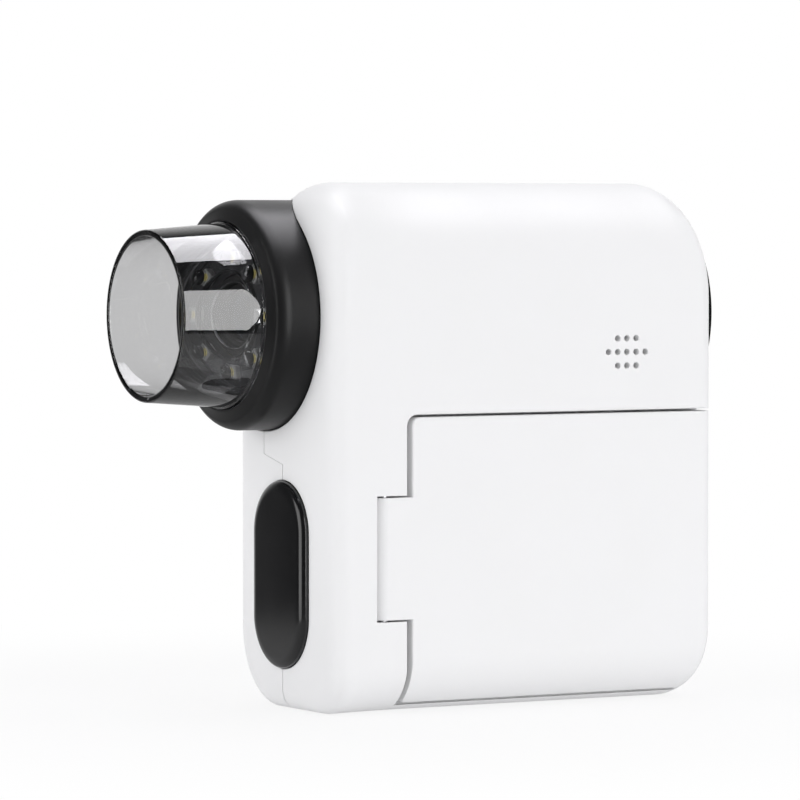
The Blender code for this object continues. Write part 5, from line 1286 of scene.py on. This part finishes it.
CELL_TRAVEL = 0.0020
CAM_PIN_RADIUS = 0.0007
CAM_PIN_PLACE = 0.0050
SNAP_HEIGHT = 0.0005
SNAP_WIDTH = 0.0012
SNAP_PLACE = 0.0006
LEDGE = 0.0012
LEDGE_WIDTH = 0.0028
GUIDE_WALL = 0.0012
CARRIER_WEB = 0.0020
FLANGE_RADIUS = 0.0140
FLANGE_THICKNESS = 0.0015
FLANGE_FRONT = BULKHEAD_REAR + GAP
CARRIER_REAR = FLANGE_FRONT + FLANGE_THICKNESS
ledge_rear = board_rear + GAP + LEDGE
web_front = RING_DEPTH - CARRIER_WEB
carrier = turned("lens_carrier_turned", filleted([
    (-CARRIER_FRONT, CARRIER_RADIUS, 2 * SMALL_FILLET), (-SNAP_PLACE - SNAP_WIDTH / 2, CARRIER_RADIUS, 0),
    (-SNAP_PLACE - SNAP_WIDTH / 4, CARRIER_RADIUS + SNAP_HEIGHT, 0),
    (-SNAP_PLACE + SNAP_WIDTH / 4, CARRIER_RADIUS + SNAP_HEIGHT, 0),
    (-SNAP_PLACE + SNAP_WIDTH / 2, CARRIER_RADIUS, 0), (RING_DEPTH, CARRIER_RADIUS, 0),
    (RING_DEPTH, NECK_RADIUS, 0), (FLANGE_FRONT, NECK_RADIUS, 0), (FLANGE_FRONT, FLANGE_RADIUS, 0),
    (CARRIER_REAR, FLANGE_RADIUS, 0), (CARRIER_REAR, GUIDE_BORE, 0), (ledge_rear, GUIDE_BORE, 0),
    (ledge_rear, GUIDE_BORE + GUIDE_WALL, 0), (web_front, GUIDE_BORE + GUIDE_WALL, 0),
    (web_front, CARRIER_BORE, 0), (ledge_rear, CARRIER_BORE, 0),
    (ledge_rear, CARRIER_BORE - LEDGE_WIDTH, 0), (ledge_rear - LEDGE, CARRIER_BORE - LEDGE_WIDTH, 0),
    (ledge_rear - LEDGE, CARRIER_BORE, 0), (-CARRIER_FRONT, CARRIER_BORE, 2 * SMALL_FILLET),
], FEW_STEPS), COARSE_SEGMENTS)
slot_reach = CELL_TRAVEL + CAM_PIN_RADIUS + GAP
cut(carrier, block("cam_slot", (CAM_PIN_PLACE - slot_reach, -CAM_PIN_RADIUS - GAP, LENS_HEIGHT - RING_RADIUS),
                   (CAM_PIN_PLACE + slot_reach, CAM_PIN_RADIUS + GAP, LENS_HEIGHT - CELL_RADIUS / 2)))
dress(carrier, "inner_black", "housing", "lens_carrier")

# %% [markdown]
# ## The lens
# The moving cell is a black barrel with fine baffle grooves that swallow stray light, and a thin bright
# lip on its mouth. The front lens is a real bulging glass with a thin coating, which gives its faint
# coloured reflection, and a narrow ring of blackened steel holds it.

# %% Lens cell
CELL_MOUTH = 0.0044
CELL_REAR_END = 0.0110
CELL_WALL = 0.0012
CELL_STOP = 0.0043
CELL_APERTURE = 0.0034
CELL_REAR_LIP = 0.0014
FRONT_LENS_THICKNESS = 0.0026
FRONT_LENS_SEAT = 0.0005
REAR_LENS_THICKNESS = 0.0016
REAR_LENS_SEGMENTS = 96
LENS_BULGE = 0.0006
LENS_SHARP_ANGLE = 60
RETAINER_THICKNESS = 0.0007
RETAINER_WALL = 0.0008
BAFFLE_COUNT = 4
BAFFLE = 0.00018
LIP_INSET = 0.00002
LIP_WIDTH = 0.00018
LIP_TAPER = 0.00004
cell_bore = CELL_RADIUS - CELL_WALL
rear_seat = CELL_REAR_END - CELL_REAR_LIP
rear_front = rear_seat - REAR_LENS_THICKNESS - 2 * GAP
lens_radius = cell_bore - GAP
front_rear = -FRONT_LENS_SEAT - FINE_GAP
front_front = front_rear - FRONT_LENS_THICKNESS

baffles = []
for step in range(BAFFLE_COUNT):
    place = -CELL_MOUTH + BAFFLE * (1 + 2 * step)
    baffles = [(place + BAFFLE, cell_bore), (place, cell_bore + BAFFLE)] + baffles
barrel = turned("lens_barrel_turned", filleted([
    (-CELL_MOUTH, CELL_RADIUS, 2 * SMALL_FILLET), (CELL_REAR_END, CELL_RADIUS, 0),
    (CELL_REAR_END, CELL_APERTURE, 0), (rear_seat, CELL_APERTURE, 0), (rear_seat, cell_bore, 0),
    (rear_front, cell_bore, 0), (rear_front, CELL_STOP, 0), (-FRONT_LENS_SEAT, CELL_STOP, 0),
    (-FRONT_LENS_SEAT, cell_bore, 0), *[(x, radius, 0) for x, radius in baffles], (-CELL_MOUTH, cell_bore, 0),
], FEW_STEPS), COARSE_SEGMENTS)
dress(barrel, "inner_black", "lens_cell", "lens_barrel")
lip_rear, lip_front = -CELL_MOUTH - FINE_GAP, -CELL_MOUTH - 3 * FINE_GAP
lip_inner = cell_bore + LIP_INSET
lip_outer = lip_inner + LIP_WIDTH
lip = turned("lens_barrel_lip", [
    (lip_rear, lip_inner), (lip_front, lip_inner + LIP_TAPER),
    (lip_front, lip_outer - LIP_TAPER), (lip_rear, lip_outer),
], COARSE_SEGMENTS)
dress(lip, "steel", "lens_cell")


def lens_profile(front, rear, radius, bulge, steps=12):
    """The half section of a lens that bulges on both faces."""
    arc = [(bulge * (1 - cosine), radius * sine) for sine, cosine in quarter(steps)]
    ahead = [(front + fall, reach) for fall, reach in arc]
    return ahead + [(rear - fall, reach) for fall, reach in reversed(arc)]


def lens(name, node, front, rear, bulge, segments):
    """A glass lens of the cell."""
    made = turned(name, lens_profile(front, rear, lens_radius, bulge), segments)
    return dress(made, "lens_glass", "lens_cell", node, smooth=LENS_SHARP_ANGLE)


lens("front_lens_glass", "front_lens", front_front, front_rear, LENS_BULGE, COARSE_SEGMENTS)
lens("rear_lens_glass", "rear_lens", rear_front + GAP, rear_seat - GAP, LENS_BULGE / 2, REAR_LENS_SEGMENTS)

ring_inner = lens_radius - RETAINER_WALL
bulge_share = 1 - math.sqrt(1 - (ring_inner / lens_radius) ** 2)
ring_rear = front_front + LENS_BULGE * bulge_share - FINE_GAP
retainer = turned("lens_retainer_turned", filleted([
    (ring_rear - RETAINER_THICKNESS, ring_inner, SMALL_FILLET),
    (ring_rear - RETAINER_THICKNESS, lens_radius, SMALL_FILLET),
    (ring_rear, lens_radius, 0), (ring_rear, ring_inner, 0),
], FEW_STEPS), COARSE_SEGMENTS)
dress(retainer, "inner_black", "lens_cell", "lens_retainer", slot="steel")

# %% [markdown]
# ## The plaque
# A raised black plaque with a wide soft bevel. It is lofted through stadium outlines that shrink along a
# curve. Its face stays bare.

# %% Front plaque
PLAQUE_SIDE_SHARE = 0.25
PLAQUE_SHARP_ANGLE = 50
BEVEL_STEPS = 12
bevel_share = 1 - PLAQUE_SIDE_SHARE
levels = [(PLAQUE_SEAT - FINE_GAP, 0.0)]
levels += [(-PLAQUE_PROUD * (PLAQUE_SIDE_SHARE + bevel_share * sine), -PLAQUE_BEVEL * (1 - cosine))
           for sine, cosine in quarter(BEVEL_STEPS)]
plaque = prism("front_plaque_polished", plaque_outline, "x", levels)
dress(plaque, "gloss_black", "housing", "front_plaque", smooth=PLAQUE_SHARP_ANGLE)

# %% [markdown]
# ## The key plate on the rear
# A polished black disc stands a little proud of the rear. Five keys come through it: a dished round one
# in the middle and four sectors round it. The keys are separate because each of them is pressed on its
# own.

# %% Rear fascia
FASCIA_PROUD = 0.0025
FASCIA_ROUND = 0.0004
KEY_PROUD = 0.0004
KEY_FLANGE = 0.0006
KEY_FLANGE_THICKNESS = 0.0010
SHUTTER_RADIUS = 0.0052
KEY_INNER = 0.0076
KEY_OUTER = 0.0138
KEY_HALF_ANGLE = math.radians(30)
KEY_CORNER = 0.0008
KEY_CORNER_STEPS = 6
KEY_SIDE_STEPS = 8
KEY_EDGE = 0.0002
EDGE_SHARE = 0.3
SHOULDER_STEPS = 10
fascia_front = HOUSING_LENGTH - FASCIA_SEAT
fascia_rear = HOUSING_LENGTH + FASCIA_PROUD
key_flange_rear = fascia_front - GAP
key_front = key_flange_rear - KEY_FLANGE_THICKNESS
key_rear = fascia_rear + KEY_PROUD


def polar(radius, angle):
    """The point at a radius and an angle."""
    return radius * Vector((math.cos(angle), math.sin(angle)))


def key_outline(middle, grow=0.0):
    """A sector of a ring with round corners, grown outwards by an amount."""
    inner, outer, corner = KEY_INNER - grow, KEY_OUTER + grow, KEY_CORNER + grow
    half = KEY_HALF_ANGLE + grow / KEY_OUTER
    points = []
    for radius, inward in ((outer, 1), (inner, -1)):
        centre_radius = radius - inward * corner
        swing = half - math.asin(corner / centre_radius)
        arcs = []
        for side in (-1, 1):
            start = side * (half + math.pi / 2)
            end = side * swing if inward > 0 else side * swing + side * math.pi
            turns = [start + (end - start) * step / KEY_CORNER_STEPS for step in range(KEY_CORNER_STEPS + 1)]
            arcs.append([polar(centre_radius, side * swing) + polar(corner, turn) for turn in turns])
        middle_arc = [polar(radius, swing * (step / KEY_SIDE_STEPS - 1))
                      for step in range(1, 2 * KEY_SIDE_STEPS)]
        side_points = arcs[0] + middle_arc + arcs[1][::-1]
        points += side_points if inward > 0 else side_points[::-1]
    turn = Matrix.Rotation(middle, 2)
    return [turn @ point + Vector((0, LENS_HEIGHT)) for point in points]


hole = SHUTTER_RADIUS + GAP
shoulder = [(fascia_rear - FASCIA_ROUND * (1 - cosine), FASCIA_RADIUS - FASCIA_ROUND * (1 - sine))
            for sine, cosine in quarter(SHOULDER_STEPS)[::-1]]
fascia = turned("key_plate_polished", [
    (fascia_front, hole), (fascia_front, FASCIA_RADIUS), *shoulder,
    (fascia_rear, hole + KEY_EDGE), (fascia_rear - KEY_EDGE, hole),
], FINE_SEGMENTS)
key_middles = [index * math.pi / 2 for index in range(4)]
holes = gathered("key_holes", [
    prism(f"key_hole_{index}", lambda grow, middle=middle: key_outline(middle, GAP + grow), "x",
          [(fascia_front - OVERRUN, 0), (fascia_rear - KEY_EDGE, 0), (fascia_rear, KEY_EDGE),
           (fascia_rear + OVERRUN, KEY_EDGE)])
    for index, middle in enumerate(key_middles)])
dress(cut(fascia, holes), "gloss_black", "housing", "rear_fascia")

# %% Keys
DISH_SHARES = (0.9, 0.8, 0.7, 0.6, 0.5, 0.4, 0.3, 0.2, 0.1)
dish = KEY_PROUD
rim_radius = SHUTTER_RADIUS - dish
shutter = turned("shutter_key_polished", [
    (key_front, 0), (key_front, SHUTTER_RADIUS + KEY_FLANGE),
    (key_flange_rear, SHUTTER_RADIUS + KEY_FLANGE), (key_flange_rear, SHUTTER_RADIUS),
    (key_rear - dish, SHUTTER_RADIUS), (key_rear - dish * EDGE_SHARE, SHUTTER_RADIUS - dish * EDGE_SHARE),
    (key_rear, rim_radius),
    *[(key_rear - dish * (1 - share ** 2), rim_radius * share) for share in DISH_SHARES],
    (key_rear - dish, 0),
], COARSE_SEGMENTS)
dress(shutter, "gloss_black", "shutter", "shutter_key")

KEYS = (("light_key", "light_button"), ("zoom_in_key", "zoom_in_button"), ("menu_key", "menu_button"),
        ("zoom_out_key", "zoom_out_button"))
for middle, (node, body) in zip(key_middles, KEYS):
    flange = prism(node + "_polished", lambda grow: key_outline(middle, grow), "x",
                   [(key_front, KEY_FLANGE), (key_flange_rear, KEY_FLANGE)])
    stem = prism("stem", lambda grow: key_outline(middle, grow), "x", [
        (key_front + GAP, 0), (key_rear - KEY_EDGE, 0),
        (key_rear - KEY_EDGE * EDGE_SHARE, -KEY_EDGE * EDGE_SHARE), (key_rear, -KEY_EDGE)])
    dress(combine(flange, stem, "UNION"), "gloss_black", body, node)

# %% Symbols on the keys
SYMBOL_PROUD = 0.00005
SYMBOL_WIDTH = 0.00045
SYMBOL_LENGTH = 0.0026
SYMBOL_RADIUS = (KEY_INNER + KEY_OUTER) / 2
BAR_CORNER_SHARE = 0.4
BAR_STEPS = 5
RAY_WIDTH_SHARE = 0.7
RAY_LENGTH_SHARE = 1.4
SUN_SHARE = 1.4
RAY_COUNT = 8
symbol_low, symbol_high = key_rear - 2 * SYMBOL_PROUD, key_rear + SYMBOL_PROUD


def bar(name, across, up, width, height):
    """A thin flat bar on the face of the keys."""
    return plate(name, (across, up), width, height, min(width, height) * BAR_CORNER_SHARE, "x",
                 [(symbol_low, 0), (symbol_high, 0)], BAR_STEPS)


def dress_symbol(symbol, body):
    """Dresses a white mark on a key."""
    dress(symbol, "symbol_white", body, slot="gloss_black")


above, below = LENS_HEIGHT + SYMBOL_RADIUS, LENS_HEIGHT - SYMBOL_RADIUS
upright = bar("upright", 0, above, SYMBOL_WIDTH, SYMBOL_LENGTH)
plus = combine(bar("symbol_plus", 0, above, SYMBOL_LENGTH, SYMBOL_WIDTH), upright, "UNION")
dress_symbol(plus, "zoom_in_button")
dress_symbol(bar("symbol_minus", 0, below, SYMBOL_LENGTH, SYMBOL_WIDTH), "zoom_out_button")
line_step = 2 * SYMBOL_WIDTH
lines = [bar(f"line_{step}", -SYMBOL_RADIUS, LENS_HEIGHT + step * line_step, SYMBOL_LENGTH, SYMBOL_WIDTH)
         for step in (-1, 0, 1)]
dress_symbol(gathered("symbol_lines", lines), "menu_button")
rays = []
for step in range(RAY_COUNT):
    ray = bar(f"ray_{step}", 0, 0, SYMBOL_WIDTH * RAY_WIDTH_SHARE, SYMBOL_WIDTH * RAY_LENGTH_SHARE)
    turn = Matrix.Rotation(2 * math.pi * step / RAY_COUNT, 4, "X")
    ray.data.transform(Matrix.Translation((0, SYMBOL_RADIUS, LENS_HEIGHT)) @ turn
                       @ Matrix.Translation((0, 0, SYMBOL_LENGTH / 2)))
    rays.append(ray)
sun_radius = SYMBOL_WIDTH * SUN_SHARE
sun = turned("sun", [(symbol_low, 0), (symbol_low, sun_radius), (symbol_high, sun_radius), (symbol_high, 0)],
             SMALL_SEGMENTS, (0, SYMBOL_RADIUS, LENS_HEIGHT))
dress_symbol(gathered("symbol_sun", rays + [sun]), "light_button")

# %% [markdown]
# ## Screws and the charging socket
# The screw heads lie deep in their holes. Each has a rounded rim and a hexagonal recess. The charging
# socket is a thin steel tube of stadium shape with a black tongue inside.

# %% Screws
SCREW_RECESS_RADIUS = 0.0009
SCREW_RECESS_DEPTH = 0.0008
RECESS_SIDES = 6
SCREW_FILLET = 0.0004
SCREW_TIP = 0.0004
screw_top = SCREW_HEAD_PLACE + SCREW_HEAD_THICKNESS
screw_outline = filleted([
    (screw_top, SMALL_FILLET, 0), (screw_top, SCREW_HEAD_RADIUS, SCREW_FILLET),
    (SCREW_HEAD_PLACE, SCREW_HEAD_RADIUS, SMALL_FILLET), (SCREW_HEAD_PLACE, SCREW_RADIUS, 0),
    (-SCREW_DEPTH + SCREW_TIP, SCREW_RADIUS, 0), (-SCREW_DEPTH, SCREW_RADIUS / 2, 0),
], FEW_STEPS)
screw_profile = [(screw_top, 0), *[tuple(point) for point in screw_outline[1:]], (-SCREW_DEPTH, 0)]
for index, (place, height) in enumerate(SCREW_PLACES):
    head = turned(f"screw_{index + 1}_finished", screw_profile, ROD_SEGMENTS, (0, 0, 0))
    head.data.transform(Matrix.Translation((place, 0, height)) @ Matrix.Rotation(math.pi / 2, 4, "Z"))
    recess = rod("recess", (place, screw_top - SCREW_RECESS_DEPTH, height), (0, 1, 0), OVERRUN,
                 SCREW_RECESS_RADIUS, RECESS_SIDES)
    dress(cut(head, recess), "steel", "housing", f"case_screw_{index + 1}")

# %% Charging socket
USB_DEPTH = 0.0073
USB_SHELL = 0.0003
USB_TONGUE = 0.0007
USB_TONGUE_WIDTH = 0.0064
usb_rear = HOUSING_LENGTH - GAP
usb_centre = (socket_middle(USB_THICKNESS), USB_HEIGHT)
usb_front = usb_rear - USB_DEPTH
usb_form = (usb_centre, USB_THICKNESS, USB_WIDTH, USB_THICKNESS / 2 - HAIR, "x")
usb_tube = plate("usb_socket_shell", *usb_form,
                 [(usb_front, 0), (usb_rear - USB_SHELL / 2, 0), (usb_rear, -USB_SHELL / 4)])
usb_room = plate("usb_room", *usb_form,
                 [(usb_front + 2 * USB_SHELL, -USB_SHELL), (usb_rear + OVERRUN, -USB_SHELL)])
dress(cut(usb_tube, usb_room), "steel", "housing", "usb_socket")
tongue = plate("usb_tongue", usb_centre, USB_TONGUE, USB_TONGUE_WIDTH, 2 * SMALL_FILLET, "x",
               [(usb_front + USB_SHELL, 0), (usb_rear - 3 * USB_SHELL, 0),
                (usb_rear - 2 * USB_SHELL, -SMALL_FILLET)])
dress(tongue, "inner_black", "housing")

# %% [markdown]
# ## What stays as it is
# The boards, the battery, the speaker and the other inner pieces keep their own solids. They get the same
# kind of finishes as the rest, so that nothing that can be glimpsed through an opening is left plain.

# %% Finish the remaining solids
NODE_FINISHES = {
    "battery": "battery_foil", "cam_pin": "steel", "card_socket": "steel", "display_panel": "display",
    "hinge_pin": "steel", "image_sensor": "chip", "key_board": "board_green", "key_membrane": "key_rubber",
    "main_board": "board_green", "processor": "chip", "sensor_board": "board_green",
    "sensor_filter": "lens_glass", "sensor_holder": "inner_black", "speaker": "inner_black",
}
for name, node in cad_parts.items():
    if node.hide_render:
        continue
    finish = finishes[NODE_FINISHES[name]]
    for index in range(max(1, len(node.material_slots))):
        if not node.material_slots:
            node.data.materials.append(finish)
        node.material_slots[index].material = finish
bpy.data.objects.remove(outer_form)
print("kept solids", sorted(n for n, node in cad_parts.items() if not node.hide_render))
